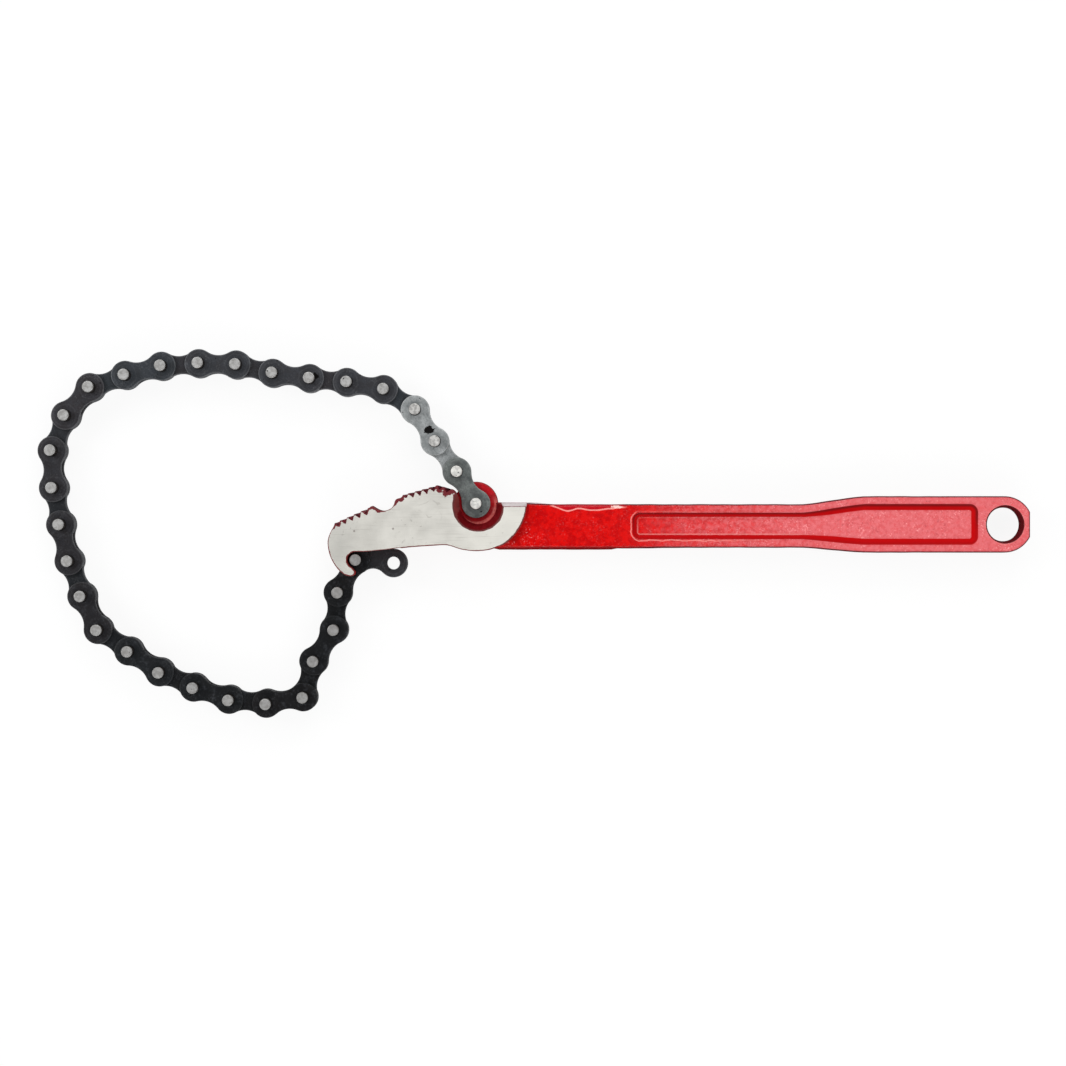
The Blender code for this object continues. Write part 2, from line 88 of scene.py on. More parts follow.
def arc(centre, radius, start, end, steps):
    angles = np.radians(np.linspace(start, end, steps + 1))
    return [(centre[0] + radius * math.cos(a), centre[1] + radius * math.sin(a)) for a in angles]


def smooth(shares, steps):
    """A smooth line through points of the jaw, given as shares of its reach and drop."""
    points = [on_jaw(share) for share in shares]
    ends = [points[0]] + points + [points[-1]]
    line = []
    for a, b, c, d in zip(ends, ends[1:], ends[2:], ends[3:]):
        for t in np.arange(steps) / steps:
            line.append(tuple(
                b[i] + (c[i] - a[i]) * t / 2
                + (a[i] - 2.5 * b[i] + 2 * c[i] - d[i] / 2) * t ** 2
                + (1.5 * b[i] - a[i] / 2 - 1.5 * c[i] + d[i] / 2) * t ** 3
                for i in (0, 1)
            ))
    return line + [points[-1]]


def row_run(row):
    """A row's start on the jaw, the way it runs and its length."""
    start, end = np.array(on_jaw(row[0])), np.array(on_jaw(row[1]))
    length = math.dist(start, end)
    return start, (end - start) / length, length


def toothed(row, z):
    """One row of teeth at height z. The gullets run askew through the jaw, so the row slides as z grows."""
    start, along, length = row_run(row)
    count = round(length / TOOTH_PITCH)
    pitch = length / count
    outward = np.array((-along[1], along[0]))
    steps = np.linspace(0, length, count * TOOTH_STEPS + 1)
    place = steps / pitch - 0.5 - np.interp(z, (-HEAD_HALF, HEAD_HALF), (LOWER_SLIDE, UPPER_SLIDE))
    number = np.round(place)
    wear = 1 - 0.10 * np.abs(np.sin(number * 2.4 + length / TOOTH_PITCH))
    depth = TOOTH_DEPTH * wear * np.clip(1 - np.abs(place - number) / (GULLET_SHARE / 2), 0, 1)
    depth *= np.clip(np.minimum(steps, length - steps) / ROW_FADE, 0, 1)
    return [tuple(start + along * s - outward * d) for s, d in zip(steps, depth)]


def jaw_line(z):
    """The head's outline at height z, counter-clockwise, and how far the edge gives way at each point."""
    pieces = [
        (toothed(HEEL_TEETH_SHARES, z)[::-1], TOOTH_EASE_SHARE),
        (toothed(BACK_TEETH_SHARES, z)[::-1][1:], TOOTH_EASE_SHARE),
        (smooth(LUMP_SHARES[::-1], 6)[1:], 1),
        (smooth(NOTCH_SHARES[::-1], 6)[1:-1], 1),
        (toothed(FRONT_TEETH_SHARES, z)[::-1], TOOTH_EASE_SHARE),
        (smooth(NOSE_SHARES[::-1], 6)[1:], 1),
        (arc(on_jaw(HOOK_SEAT_SHARES), HOOK_CUP_RADIUS, *HOOK_CUP_ANGLES, 30), 0.8),
        (smooth(UNDERSIDE_SHARES[::-1], 7), 1),
        (arc((0, HEAD_LIFT), HEAD_RADIUS, HEAD_LOW_ANGLE, HEAD_TOP_ANGLE, 44), 1),
        ([STEP_END], 1),
    ]
    points = [point for piece, give in pieces for point in piece]
    gives = [give for piece, give in pieces for point in piece]
    return np.array(points), np.array(gives)


def inset(points, amounts):
    """The outline moved inwards, each point square to the line through its neighbours."""
    along = np.roll(points, -1, 0) - np.roll(points, 1, 0)
    along /= np.linalg.norm(along, axis=1)[:, None]
    return points + np.stack((-along[:, 1], along[:, 0]), 1) * np.broadcast_to(amounts, len(points))[:, None]


def placed(name, data):
    """A new object in the scene."""
    thing = bpy.data.objects.new(name, data)
    bpy.context.scene.collection.objects.link(thing)
    return thing


def finished_mesh(thing):
    """The object's mesh with its modifiers worked out."""
    bpy.context.view_layer.update()
    graph = bpy.context.evaluated_depsgraph_get()
    return bpy.data.meshes.new_from_object(thing.evaluated_get(graph))


def lofted(name, rings):
    """A closed solid through rings of as many points each, from the lowest ring to the highest."""
    work = bmesh.new()
    rows = [[work.verts.new((*point, z)) for point in points] for points, z in rings]
    for low, high in zip(rows, rows[1:]):
        for corners in zip(low, low[1:] + low[:1], high[1:] + high[:1], high):
            work.faces.new(corners)
    work.faces.new(rows[0][::-1])
    work.faces.new(rows[-1])
    mesh = bpy.data.meshes.new(name)
    work.to_mesh(mesh)
    work.free()
    return placed(name, mesh)


def turned(name, profile, sides, centre=(0, 0)):
    """A solid of revolution about Z, from its profile of radii and heights, lowest first."""
    rings = []
    for radius, z in profile:
        rings.append((np.array(arc(centre, radius, 0, 360, sides)[:-1]), z))
    return lofted(name, rings)


def mirrored(rows, shared=1):
    """Rows from the lowest to the middle one, and the same upwards from there: a row's height is its last."""
    return [*rows] + [(*row[:-1], -row[-1]) for row in rows[::-1][shared:]]


def combined(target, shape, operation="DIFFERENCE"):
    """Cuts the shape out of the target or joins it to it, and clears the shape away."""
    modifier = target.modifiers.new(shape.name, "BOOLEAN")
    modifier.operation = operation
    modifier.solver = "EXACT"
    modifier.object = shape
    made = finished_mesh(target)
    target.modifiers.clear()
    target.data = made
    bpy.data.objects.remove(shape)


jaw_levels = [(1, -HEAD_HALF), (0.55, 0.06 * FACE_EASE - HEAD_HALF), (0.2, 0.3 * FACE_EASE - HEAD_HALF)]
jaw_levels += [(0, z) for z in np.arange(-9 * LEVEL_STEP, -0.9 * LEVEL_STEP, LEVEL_STEP)]
jaw_levels += [(0, -FLASH_HALF), (-1, -FLASH_HALF / 3)]
jaw_rings = []
for share, z in mirrored(jaw_levels, 0):
    points, gives = jaw_line(z)
    give = FACE_EASE * share if share >= 0 else FLASH_RISE * share
    jaw_rings.append((inset(points, gives * give), z))
forging = lofted("forging", jaw_rings)

# The handle bar, as part of the forging
HANDLE_HALF = 0.0050
NECK_TOP, NECK_BOTTOM = -0.00022, -0.01872
GRIP_TOP, GRIP_BOTTOM = 0.0032, -0.0208
SHOULDER_TOP, SHOULDER_FLAT_X, SHOULDER_END_X = 0.00028, 0.0216, 0.0330
TAPER_START_X, TAPER_END_X, TAPER_EASE = 0.1389, 0.1647, 0.3
HANG_HOLE_X, HANG_HOLE_Y = 0.2241, -0.0088
HANG_HOLE_RADIUS, HANG_HOLE_WAIST = 0.00750, 0.00713
TIP_RADIUS, END_CUT = 0.0120, 0.0012
EDGE_ROUND = 0.0011
NECK_FLASH_END_X, LOWER_FLASH_END_X = 0.0586, 0.0950
TOP_FLASH_START_X, TOP_FLASH_END_X = 0.0200, 0.0310
FLASH_WIDTH, LOWER_FLASH_WIDTH, TOP_FLASH_WIDTH = 0.0005, 0.0003, 0.0004
GROUND_EDGE_X, GROUND_EDGE_REACH = 0.048, 0.016
HAMMER_MARK = 0.00006
RECESS_START_X, RECESS_END_X = 0.0661, 0.2126
RECESS_LINE_START_X, RECESS_LINE_END_X = 0.0720, 0.206
RECESS_RIM, RECESS_DEPTH, RECESS_CORNER = 0.0034, 0.0018, 0.0034


def handle_side(neck, grip, inward=0, first=0):
    """One long edge of the handle, from x = first to the hang hole, moved in by a distance."""
    line = [(x, neck + inward) for x in np.arange(first, TAPER_START_X - 0.001, 0.0025)]
    for t in np.linspace(0, 1, 25):
        share = TAPER_EASE * (1 - math.cos(math.pi * t)) / 2 + (1 - TAPER_EASE) * t
        x = TAPER_START_X + (TAPER_END_X - TAPER_START_X) * t
        line.append((x, neck + inward + (grip - neck) * share))
    return line


flat_angle = math.degrees(math.acos(1 - END_CUT / TIP_RADIUS))
handle_line = handle_side(NECK_BOTTOM, GRIP_BOTTOM)
handle_line += [(x, GRIP_BOTTOM) for x in np.arange(TAPER_END_X + 0.003, HANG_HOLE_X - 0.001, 0.003)]
handle_line += arc((HANG_HOLE_X, HANG_HOLE_Y), TIP_RADIUS, -90, -flat_angle, 20)
handle_line += [(HANG_HOLE_X + TIP_RADIUS - END_CUT, HANG_HOLE_Y + y) for y in (-0.003, 0, 0.003)]
handle_line += arc((HANG_HOLE_X, HANG_HOLE_Y), TIP_RADIUS, flat_angle, 90, 20)
handle_line += [(x, GRIP_TOP) for x in np.arange(HANG_HOLE_X - 0.003, TAPER_END_X + 0.001, -0.003)]
for x, y in handle_side(NECK_TOP, GRIP_TOP)[::-1]:
    rise = np.interp(x, (SHOULDER_FLAT_X, SHOULDER_END_X), (SHOULDER_TOP - NECK_TOP, 0))
    handle_line.append((x, y + rise))
handle_line = np.array(handle_line)
x = handle_line[:, 0]
hammered = HAMMER_MARK * np.sin(x * 410) * np.sin(x * 173 + 1) * (x < 0.2)
handle_line = inset(handle_line, HAMMER_MARK + hammered)
x, upper, lower = handle_line[:, 0], handle_line[:, 1] > -0.003, handle_line[:, 1] < -0.012
# where the neck's upper edge was ground down by hand, its round is wider and wavy
ground_edge = np.clip(1 - np.abs(x - GROUND_EDGE_X) / GROUND_EDGE_REACH, 0, 1) * upper
ground_edge = ground_edge ** 0.4 * (1 + 0.25 * np.sin(x * 520))
bar_rings = []
for turn in np.linspace(0, 90, 7):
    drop, back = 1 - math.cos(math.radians(turn)), 1 - math.sin(math.radians(turn))
    amounts = EDGE_ROUND * back * (1 + 0.9 * ground_edge)
    bar_rings.append((inset(handle_line, amounts), EDGE_ROUND * drop - HANDLE_HALF))
flash_left = FLASH_WIDTH * np.clip((NECK_FLASH_END_X - x) / 0.001, 0, 1)
flash_left += LOWER_FLASH_WIDTH * np.clip((LOWER_FLASH_END_X - x) / 0.030, 0, 1)
flash_left *= lower * np.clip((x - 0.006) / 0.004, 0, 1)
flash_left += TOP_FLASH_WIDTH * upper * (x > TOP_FLASH_START_X) * np.clip((TOP_FLASH_END_X - x) / 0.004, 0, 1)
bar_rings += [(handle_line, -0.0018), (handle_line, -0.0006)]
bar_rings.append((inset(handle_line, -0.00008 - flash_left), -0.0002))
handle_bar = lofted("handle_bar", mirrored(bar_rings, 0))


def recess_line(spread):
    """The sunk panel's outline, spread by a distance beyond its floor."""
    back = RECESS_DEPTH - spread
    corner = RECESS_CORNER - back
    left, right = RECESS_START_X + back, RECESS_END_X - back
    reach = RECESS_RIM + back
    low, high = GRIP_BOTTOM + reach, GRIP_TOP - reach
    neck_low, neck_high = NECK_BOTTOM + reach, NECK_TOP - reach
    line = arc((left + corner, neck_low + corner), corner, 180, 270, 8)
    run = np.arange(TAPER_END_X + 0.004, RECESS_LINE_END_X, 0.004)
    line += handle_side(NECK_BOTTOM, GRIP_BOTTOM, reach, RECESS_LINE_START_X) + [(x, low) for x in run]
    line += arc((right - corner, low + corner), corner, 270, 360, 8)
    line += arc((right - corner, high - corner), corner, 0, 90, 8)
    line += [(x, high) for x in run[::-1]]
    line += handle_side(NECK_TOP, GRIP_TOP, -reach, RECESS_LINE_START_X)[::-1]
    line += arc((left + corner, neck_high - corner), corner, 90, 180, 8)
    return np.array(line)


RECESS_PROFILE = (
    (-0.0008, -0.00180), (-0.0004, -0.00172), (-0.0001, -0.00152), (0.0002, -0.00124),
    (0.0012, -0.00046), (0.0015, -0.00024), (0.0019, -0.00008), (0.0023, 0.00002), (0.0024, 0.00200),
)
for up in (1, -1):
    rings = [(recess_line(spread), up * (HANDLE_HALF + height)) for spread, height in RECESS_PROFILE]
    combined(handle_bar, lofted("sunk_panel", rings[::up]))
hole_profile = [(0.01020, -0.0070), (0.00830, -0.0051), (0.00800, -0.0048), (0.00770, -0.0044)]
hole_profile += [(HANG_HOLE_RADIUS, -0.0038), (HANG_HOLE_WAIST + 0.0001, -0.0010), (HANG_HOLE_WAIST, 0)]
combined(handle_bar, turned("hang_hole", mirrored(hole_profile), 72, (HANG_HOLE_X, HANG_HOLE_Y)))
combined(forging, handle_bar, "UNION")

# The pocket, the way out for the first link, and the anchor eye
EYE_HALF, EYE_RADIUS, BORE_RADIUS = 0.00155, 0.009375, 0.0027
POCKET_FLOOR_RADIUS, POCKET_RIM_RADIUS = 0.007575, 0.010475
POCKET_CENTRE = (0.0010, -0.0010)
LINK_PITCH, PLATE_RADIUS, PLATE_WAIST = 0.015875, 0.0061, 0.0038
WAY_OUT_GAP, FREE_END_HEADING = 0.0010, math.radians(355)
# heights that reach past the faces to cut and past the eye to bore
PAST_FACES, PAST_EYE = 0.0105, 0.0040
pocket_profile = [
    (POCKET_RIM_RADIUS + 0.0012, -PAST_FACES), (POCKET_RIM_RADIUS + 0.00022, -HEAD_HALF),
    (POCKET_RIM_RADIUS - 0.00010, -0.0082), (0.00790, -0.0023), (0.00768, -0.0019),
    (POCKET_FLOOR_RADIUS, -EYE_HALF), (POCKET_FLOOR_RADIUS, 0),
]
combined(forging, turned("anchor_pocket", mirrored(pocket_profile), 96, POCKET_CENTRE))


def plate_line(extra):
    """A waisted chain plate from pin to pin, widened all round."""
    end, waist, half = PLATE_RADIUS + extra, PLATE_WAIST + extra, LINK_PITCH / 2
    hollow = (half ** 2 + waist ** 2 - end ** 2) / (2 * (end - waist))
    lean = math.degrees(math.atan2(waist + hollow, half))
    line = arc((0, 0), end, lean, 360 - lean, 36)
    line += arc((half, -waist - hollow), hollow, 180 - lean, lean, 12)[1:-1]
    line += arc((LINK_PITCH, 0), end, lean - 180, 180 - lean, 36)
    line += arc((half, waist + hollow), hollow, -lean, lean - 180, 12)[1:-1]
    return np.array(line)


def turned_by(points, heading):
    c, s = math.cos(heading), math.sin(heading)
    return points @ np.array(((c, s), (-s, c)))


headings = [math.atan2(*(b - a)[1::-1]) for a, b in zip(pivots, pivots[1:])]
headings.append(FREE_END_HEADING)
way_out = turned_by(plate_line(WAY_OUT_GAP), headings[0])
combined(forging, lofted("way_out", [(way_out, -PAST_FACES), (way_out, PAST_FACES)]))
eye_profile = [
    (0.0040, -EYE_HALF), (EYE_RADIUS - 0.00070, -EYE_HALF), (EYE_RADIUS - 0.00034, -EYE_HALF + 0.00010),
    (EYE_RADIUS - 0.00009, -EYE_HALF + 0.00036), (EYE_RADIUS, -EYE_HALF + 0.00072),
]
combined(forging, turned("anchor_eye", mirrored(eye_profile, 0), 96), "UNION")
for up in (1, -1):
    near, far = SHOULDER_TOP - 0.0035, SHOULDER_TOP + 0.0020
    wedge = [(near, PAST_FACES), (far, HANDLE_HALF), (far, PAST_FACES)]
    wedge = np.array([(y, up * z) for y, z in wedge])[::up]
    strip = lofted("ground_strip", [(wedge, 0), (wedge, SHOULDER_END_X)])
    for vertex in strip.data.vertices:
        y, z, x = vertex.co
        vertex.co = (x, y, z)
    combined(forging, strip)
combined(forging, turned("anchor_bore", mirrored([(BORE_RADIUS, -PAST_EYE)], 0), 48))

# The slot between the two prongs of the hook, as wide as the chain's plates need
SLOT_RADIUS, SLOT_HALF = 0.0066, 0.0036
seat = np.array(on_jaw(HOOK_SEAT_SHARES))
free_end, pulled = headings[29], headings[28]
edge = arc(seat, SLOT_RADIUS, math.degrees(free_end) - 270, math.degrees(pulled) + 90, 24)
out = JAW_REACH * np.array((math.cos(free_end), math.sin(free_end)))
down = JAW_REACH * np.array((math.cos(pulled), math.sin(pulled)))
slot = [tuple(np.array(edge[0]) + out)] + edge + [tuple(np.array(edge[-1]) - down), tuple(seat + out - down)]
slot = np.array(slot)
combined(forging, lofted("hook_slot", [(slot, -SLOT_HALF), (slot, SLOT_HALF)]))

# The forging's flat faces get an even net of triangles, finer near their edges, which carries the wear
FINE_NET, WIDE_NET, FINE_BAND, EDGE_STEP = 0.0006, 0.0019, 0.0018, 0.0003
STRIP_START_X, STRIP_END_X = 0.0105, SHOULDER_END_X + 0.0005
MERGE_REACH, CUT_REACH = 0.000003, 0.000002


def searchable(places):
    """A tree that finds the nearest of the places."""
    tree = kdtree.KDTree(len(places))
    for i, place in enumerate(places):
        tree.insert(place, i)
    tree.balance()
    return tree


def net_points(corners, segments):
    """Points inside a flat face: close together near its edges, wider apart in its middle."""
    a, b = corners[segments[:, 0]], corners[segments[:, 1]]
    edge_points = []
    for start, end in zip(a, b):
        steps = math.ceil(math.dist(start, end) / EDGE_STEP)
        edge_points += [(*(start + (end - start) * i / steps), 0) for i in range(steps)]
    edge_tree = searchable(edge_points)
    low, high = corners.min(0), corners.max(0)
    found = []
    for spacing, nearest, farthest in ((FINE_NET, 0.6 * FINE_NET, FINE_BAND), (WIDE_NET, FINE_BAND, 1)):
        for row, y in enumerate(np.arange(low[1], high[1], spacing * 0.866)):
            for x in np.arange(low[0] + (row % 2) * spacing / 2, high[0], spacing):
                gap = edge_tree.find((x, y, 0))[2]
                if nearest < gap <= farthest:
                    found.append((x, y))
    found = np.array(found)
    return found[inside(found, a, b)]


def inside(points, a, b):
    """Whether each point lies inside the closed lines from a to b."""
    crossings = np.zeros(len(points), int)
    for (ax, ay), (bx, by) in zip(a, b):
        if ay == by:
            continue
        level = (ay > points[:, 1]) != (by > points[:, 1])
        crossings += level & (points[:, 0] < ax + (points[:, 1] - ay) * (bx - ax) / (by - ay))
    return crossings % 2 == 1


def renetted(work, z):
    """The flat faces at height z, made again from an even net."""
    up = 1 if z > 0 else -1
    faces = [f for f in work.faces if f.normal.z * up > 0.9999 and abs(f.calc_center_median().z - z) < 1e-5]
    kept = set(faces)
    rim = [e for f in faces for e in f.edges if sum(g in kept for g in e.link_faces) == 1]
    verts = list({v for e in rim for v in e.verts})
    number = {v: i for i, v in enumerate(verts)}
    corners = np.array([v.co.xy for v in verts])
    segments = np.array([(number[e.verts[0]], number[e.verts[1]]) for e in rim])
    points = net_points(corners, segments)
    flat = [Vector(p) for p in np.vstack((corners, points))]
    made, _, triangles, origins, _, _ = geometry.delaunay_2d_cdt(flat, segments.tolist(), [], 0, 1e-9)
    centres = np.array([sum((made[i] for i in t), Vector((0, 0))) / 3 for t in triangles])
    held = inside(centres, corners[segments[:, 0]], corners[segments[:, 1]])
    bmesh.ops.delete(work, geom=faces, context="FACES_ONLY")
    grown = []
    for place, origin in zip(made, origins):
        old = [i for i in origin if i < len(verts)]
        grown.append(verts[old[0]] if old else work.verts.new((place.x, place.y, z)))
    for triangle, keep in zip(triangles, held):
        if keep and len({grown[i] for i in triangle}) == 3:
            work.faces.new([grown[i] for i in triangle[::up]])


work = bmesh.new()
work.from_mesh(forging.data)
bmesh.ops.remove_doubles(work, verts=work.verts, dist=MERGE_REACH)
bmesh.ops.dissolve_degenerate(work, edges=work.edges, dist=MERGE_REACH)
work.normal_update()
floor = HANDLE_HALF - RECESS_DEPTH
for level in (HEAD_HALF, HANDLE_HALF, floor, -floor, -HANDLE_HALF, -HEAD_HALF):
    renetted(work, level)
for parts, kind in ((work.edges, "EDGES"), (work.verts, "VERTS")):
    bmesh.ops.delete(work, geom=[part for part in parts if not part.link_faces], context=kind)
bmesh.ops.triangulate(work, faces=[f for f in work.faces if len(f.verts) > 4])
work.normal_update()


def on_strip(face, end_x):
    """Whether the face lies on the strip ground at 45 degrees along the neck's upper edge."""
    sloping = abs(abs(face.normal.z) - math.sqrt(0.5)) < 0.02 and face.normal.y > 0.6
    return sloping and STRIP_START_X < face.calc_center_median().x < end_x


for y in np.linspace(SHOULDER_TOP - 0.0012, SHOULDER_TOP - 0.0003, 4):
    strip = [f for f in work.faces if on_strip(f, STRIP_END_X)]
    parts = list({p for f in strip for p in (*f.verts, *f.edges)}) + strip
    bmesh.ops.bisect_plane(work, geom=parts, dist=CUT_REACH, plane_co=(0, y, 0), plane_no=(0, 1, 0))
bmesh.ops.triangulate(work, faces=[f for f in work.faces if len(f.verts) > 4])
work.normal_update()

# What the paint and the painted shade follow: how far each point lies from an outer edge, how far the paint
# creeps onto the ground face there, how deep it lies in a gullet or whether it is in the pocket, which set
# its painted shade, and how far outside the sunk panel's lip
SHARP_ANGLE, REACH_LIMIT, LIP_SPREAD = math.radians(24), 0.0060, 0.0019
# painted shade on the eye, on the pocket's walls, and at the least in a gullet, growing with its depth
EYE_SHADE_AMOUNT, POCKET_SHADE_AMOUNT, GULLET_SHADE_AMOUNT = 0.34, 0.30, 0.66
NARROW_CREEP = 0.00014
# where more paint was left: place, how far it spreads along the edge, and how wide it is
CREEP_SPOTS = (
    ((-0.0333, 0.0025), 0.0040, 0.0016), ((-0.0425, -0.0025), 0.0050, 0.0007),
    ((-0.0120, 0.0068), 0.0060, 0.0016), ((-0.0590, -0.0090), 0.0028, 0.0006),
    ((-0.0570, -0.0250), 0.0140, 0.00022), ((0.0170, -0.0120), 0.0130, 0.00035),
    (POCKET_CENTRE, 0.0135, 0.00020),
)
sharp_places = []
for edge in work.edges:
    if edge.is_convex and edge.calc_face_angle(0) > SHARP_ANGLE:
        a, b = (v.co for v in edge.verts)
        steps = max(1, math.ceil((b - a).length / EDGE_STEP))
        sharp_places += [a.lerp(b, i / steps) for i in range(steps)]
sharp_tree = searchable(sharp_places)
lip_line = recess_line(LIP_SPREAD)
next_ones = np.roll(lip_line, -1, 0)
lip_tree = searchable([
    (*(a + (b - a) * share), 0) for a, b in zip(lip_line, next_ones) for share in np.arange(0, 1, 0.1)])
within = inside(np.array([v.co.xy for v in work.verts]), lip_line, next_ones)
reaches, creeps, hollow_shades, lips = [], [], [], []
for vertex, sunk in zip(work.verts, within):
    place, _, reach = sharp_tree.find(vertex.co)
    reaches.append(min(reach, REACH_LIMIT))
    creeps.append(NARROW_CREEP + max(
        width * np.clip(2 - 2 * math.dist(spot, place.xy) / spread, 0, 1)
        for spot, spread, width in CREEP_SPOTS))
    hollow_shade = 0
    if math.dist(vertex.co.xy, POCKET_CENTRE) < POCKET_RIM_RADIUS + 0.0006 and abs(vertex.co.z) < 0.0084:
        hollow_shade = np.interp(abs(vertex.co.z) - EYE_HALF, (0, 0.001), (EYE_SHADE_AMOUNT, POCKET_SHADE_AMOUNT))
    for row in (FRONT_TEETH_SHARES, BACK_TEETH_SHARES, HEEL_TEETH_SHARES):
        start, along, length = row_run(row)
        away = np.array(vertex.co.xy) - start
        deep = (away[0] * along[1] - away[1] * along[0]) / TOOTH_DEPTH
        if -0.0004 < away @ along < length + 0.0004 and -0.2 < deep < 1.3:
            hollow_shade = max(hollow_shade, GULLET_SHADE_AMOUNT + (1 - GULLET_SHADE_AMOUNT) * min(max(deep, 0), 1))
    hollow_shades.append(hollow_shade)
    gap = min(lip_tree.find((vertex.co.x, vertex.co.y, 0))[2], REACH_LIMIT)
    lips.append(-gap if sunk else gap)
for face in work.faces:
    middle, normal = face.calc_center_median(), face.normal
    ground = abs(normal.z) > 0.999 and abs(abs(middle.z) - HEAD_HALF) < 0.00001
    face.material_index = int(ground or on_strip(face, SHOULDER_END_X))
    face.smooth = True
bmesh.ops.translate(work, verts=work.verts, vec=anchor)
forging.data.materials.clear()
work.to_mesh(forging.data)
work.free()
forging.data.set_sharp_from_angle(angle=SHARP_ANGLE)
for name, values in {
    "edge_reach": reaches, "paint_creep": creeps, "gullet_grime": hollow_shades, "lip_gap": lips,
}.items():
    forging.data.attributes.new(name, "FLOAT", "POINT").data.foreach_set("value", values)


def sum_by(operation):
    """How a sum sign works two values into one."""
    return lambda one, other: calc(operation, one, other)


class Value:
    """What a node gives. Sums written with it become nodes of the same tree."""

    def __init__(self, socket):
        self.socket = socket

    def __abs__(self):
        return calc("ABSOLUTE", self)

    def __rsub__(self, other):
        return calc("SUBTRACT", other, self)

    __add__ = __radd__ = sum_by("ADD")
    __mul__ = __rmul__ = sum_by("MULTIPLY")
    __sub__, __truediv__, __pow__ = sum_by("SUBTRACT"), sum_by("DIVIDE"), sum_by("POWER")
    __lt__, __gt__ = sum_by("LESS_THAN"), sum_by("GREATER_THAN")


def wired(inputs, values):
    """Links each input to its value, or sets it."""
    for key, value in values.items():
        if isinstance(value, Value):
            value.socket.id_data.links.new(value.socket, inputs[key])
        else:
            inputs[key].default_value = value


def added(tree, kind, values, **settings):
    """A new node with its settings made and its inputs linked or set."""
    node = tree.nodes.new(kind)
    for name, setting in settings.items():
        setattr(node, name, setting)
    wired(node.inputs, values)
    return node


def worked(kind, values, output=0, tree=None, **settings):
    """What a new node gives, in the tree that its values come from where none is named."""
    tree = tree or next(value.socket.id_data for value in values.values() if isinstance(value, Value))
    return Value(added(tree, kind, values, **settings).outputs[output])


def calc(operation, *values):
    return worked("ShaderNodeMath", dict(enumerate(values)), operation=operation)


def most(*values):
    return calc("MAXIMUM", *values)


def faded(value, start, end, low=0, high=1):
    """The value brought from start..end to low..high, with soft ends."""
    return worked("ShaderNodeMapRange", {
        "Value": value, "From Min": start, "From Max": end, "To Min": low, "To Max": high,
    }, interpolation_type="SMOOTHSTEP")


def split(place):
    node = added(place.socket.id_data, "ShaderNodeSeparateXYZ", {0: place})
    return [Value(output) for output in node.outputs]


def put(x=0, y=0, z=0):
    return worked("ShaderNodeCombineXYZ", {0: x, 1: y, 2: z})


def apart(place, other):
    """The distance between two places."""
    return worked("ShaderNodeVectorMath", {0: place, 1: other}, "Value", operation="DISTANCE")


def cloudy(place, scale, detail=3, rough=0.55):
    return worked("ShaderNodeTexNoise", {
        "Vector": place, "Scale": scale, "Detail": detail, "Roughness": rough}, "Fac")


def bumped(height, strength, depth):
    return worked("ShaderNodeBump", {"Height": height, "Strength": strength, "Distance": depth})


def mixed(share, low, high):
    """Two numbers mixed by a share."""
    return worked("ShaderNodeMix", {0: share, 2: low, 3: high}, data_type="FLOAT")


def blended(share, low, high):
    """Two colours mixed by a share."""
    return worked("ShaderNodeMix", {0: share, 6: low, 7: high}, 2, data_type="RGBA")


def layered(colour, *layers):
    """The colour with others laid over it in turn, each by its share."""
    for share, laid in layers:
        colour = blended(share, colour, laid)
    return colour


def read(tree, name, output="Fac"):
    return worked("ShaderNodeAttribute", {}, output, tree, attribute_name=name)


def facing(tree):
    """How level a face lies: one where it faces straight up or down."""
    return abs(split(worked("ShaderNodeNewGeometry", {}, "Normal", tree))[2])


def grouped(name, kind, inputs, outputs):
    """A node group: its tree, the values given to it, and the sockets of what it gives."""
    tree = bpy.data.node_groups.new(name, kind + "NodeTree")
    for way, sockets in (("INPUT", inputs), ("OUTPUT", outputs)):
        for title, sort in sockets.items():
            tree.interface.new_socket(name=title, in_out=way, socket_type="NodeSocket" + sort)
    given = tree.nodes.new("NodeGroupInput").outputs
    return tree, {title: Value(given[title]) for title in inputs}, tree.nodes.new("NodeGroupOutput").inputs


def finish(name):
    """A new material, its tree, its shader, and the place on the piece that its patterns follow."""
    material = bpy.data.materials.new(name)
    material.use_nodes = True
    tree = material.node_tree
    return material, tree, tree.nodes["Principled BSDF"], worked("ShaderNodeTexCoord", {}, "Object", tree)


def tone(red, green, blue):
    """A colour as it looks on screen, 0 to 255, made the linear colour that a shader takes."""
    return tuple((c / 12.92 if c < 0.0405 else ((c + 0.055) / 1.055) ** 2.4) for c in (
        red / 255, green / 255, blue / 255)) + (1,)


# Fine specks: the mottle of cheap glossy paint and of forged skin, and the paint's painted glints
specks, given, out = grouped(
    "fine_specks", "Shader", {"Place": "Vector", "Scale": "Float", "Amount": "Float"}, {"Mask": "Float"})
small = cloudy(given["Place"], given["Scale"], 2, 0.6)
large = cloudy(given["Place"], given["Scale"] * 0.12, 2)
over = (small * 0.7 + large * 0.3 - (0.72 - given["Amount"] * 0.3)) * 9
wired(out, {"Mask": calc("MINIMUM", most(over, 0), 1)})

# Wear along edges: strong at an outer edge, ragged, gone at the given width
rubbed, given, out = grouped(
    "rubbed_edge", "Shader", {"Place": "Vector", "Width": "Float", "Ragged": "Float"}, {"Mask": "Float"})
coarse = cloudy(given["Place"], 420) - 0.5
reach = read(rubbed, "edge_reach") / given["Width"] + coarse * 3 * given["Ragged"]
wired(out, {"Mask": faded(reach, 1, 0.55)})


def worn(place, width, ragged):
    return worked("ShaderNodeGroup", {"Place": place, "Width": width, "Ragged": ragged}, node_tree=rubbed)


def speckled(place, scale, amount):
    return worked("ShaderNodeGroup", {"Place": place, "Scale": scale, "Amount": amount}, node_tree=specks)


def spotted(place, centre, radius, soft=0.5):
    """A mask of one spot on a piece."""
    return faded(apart(place, centre), radius, radius * soft)
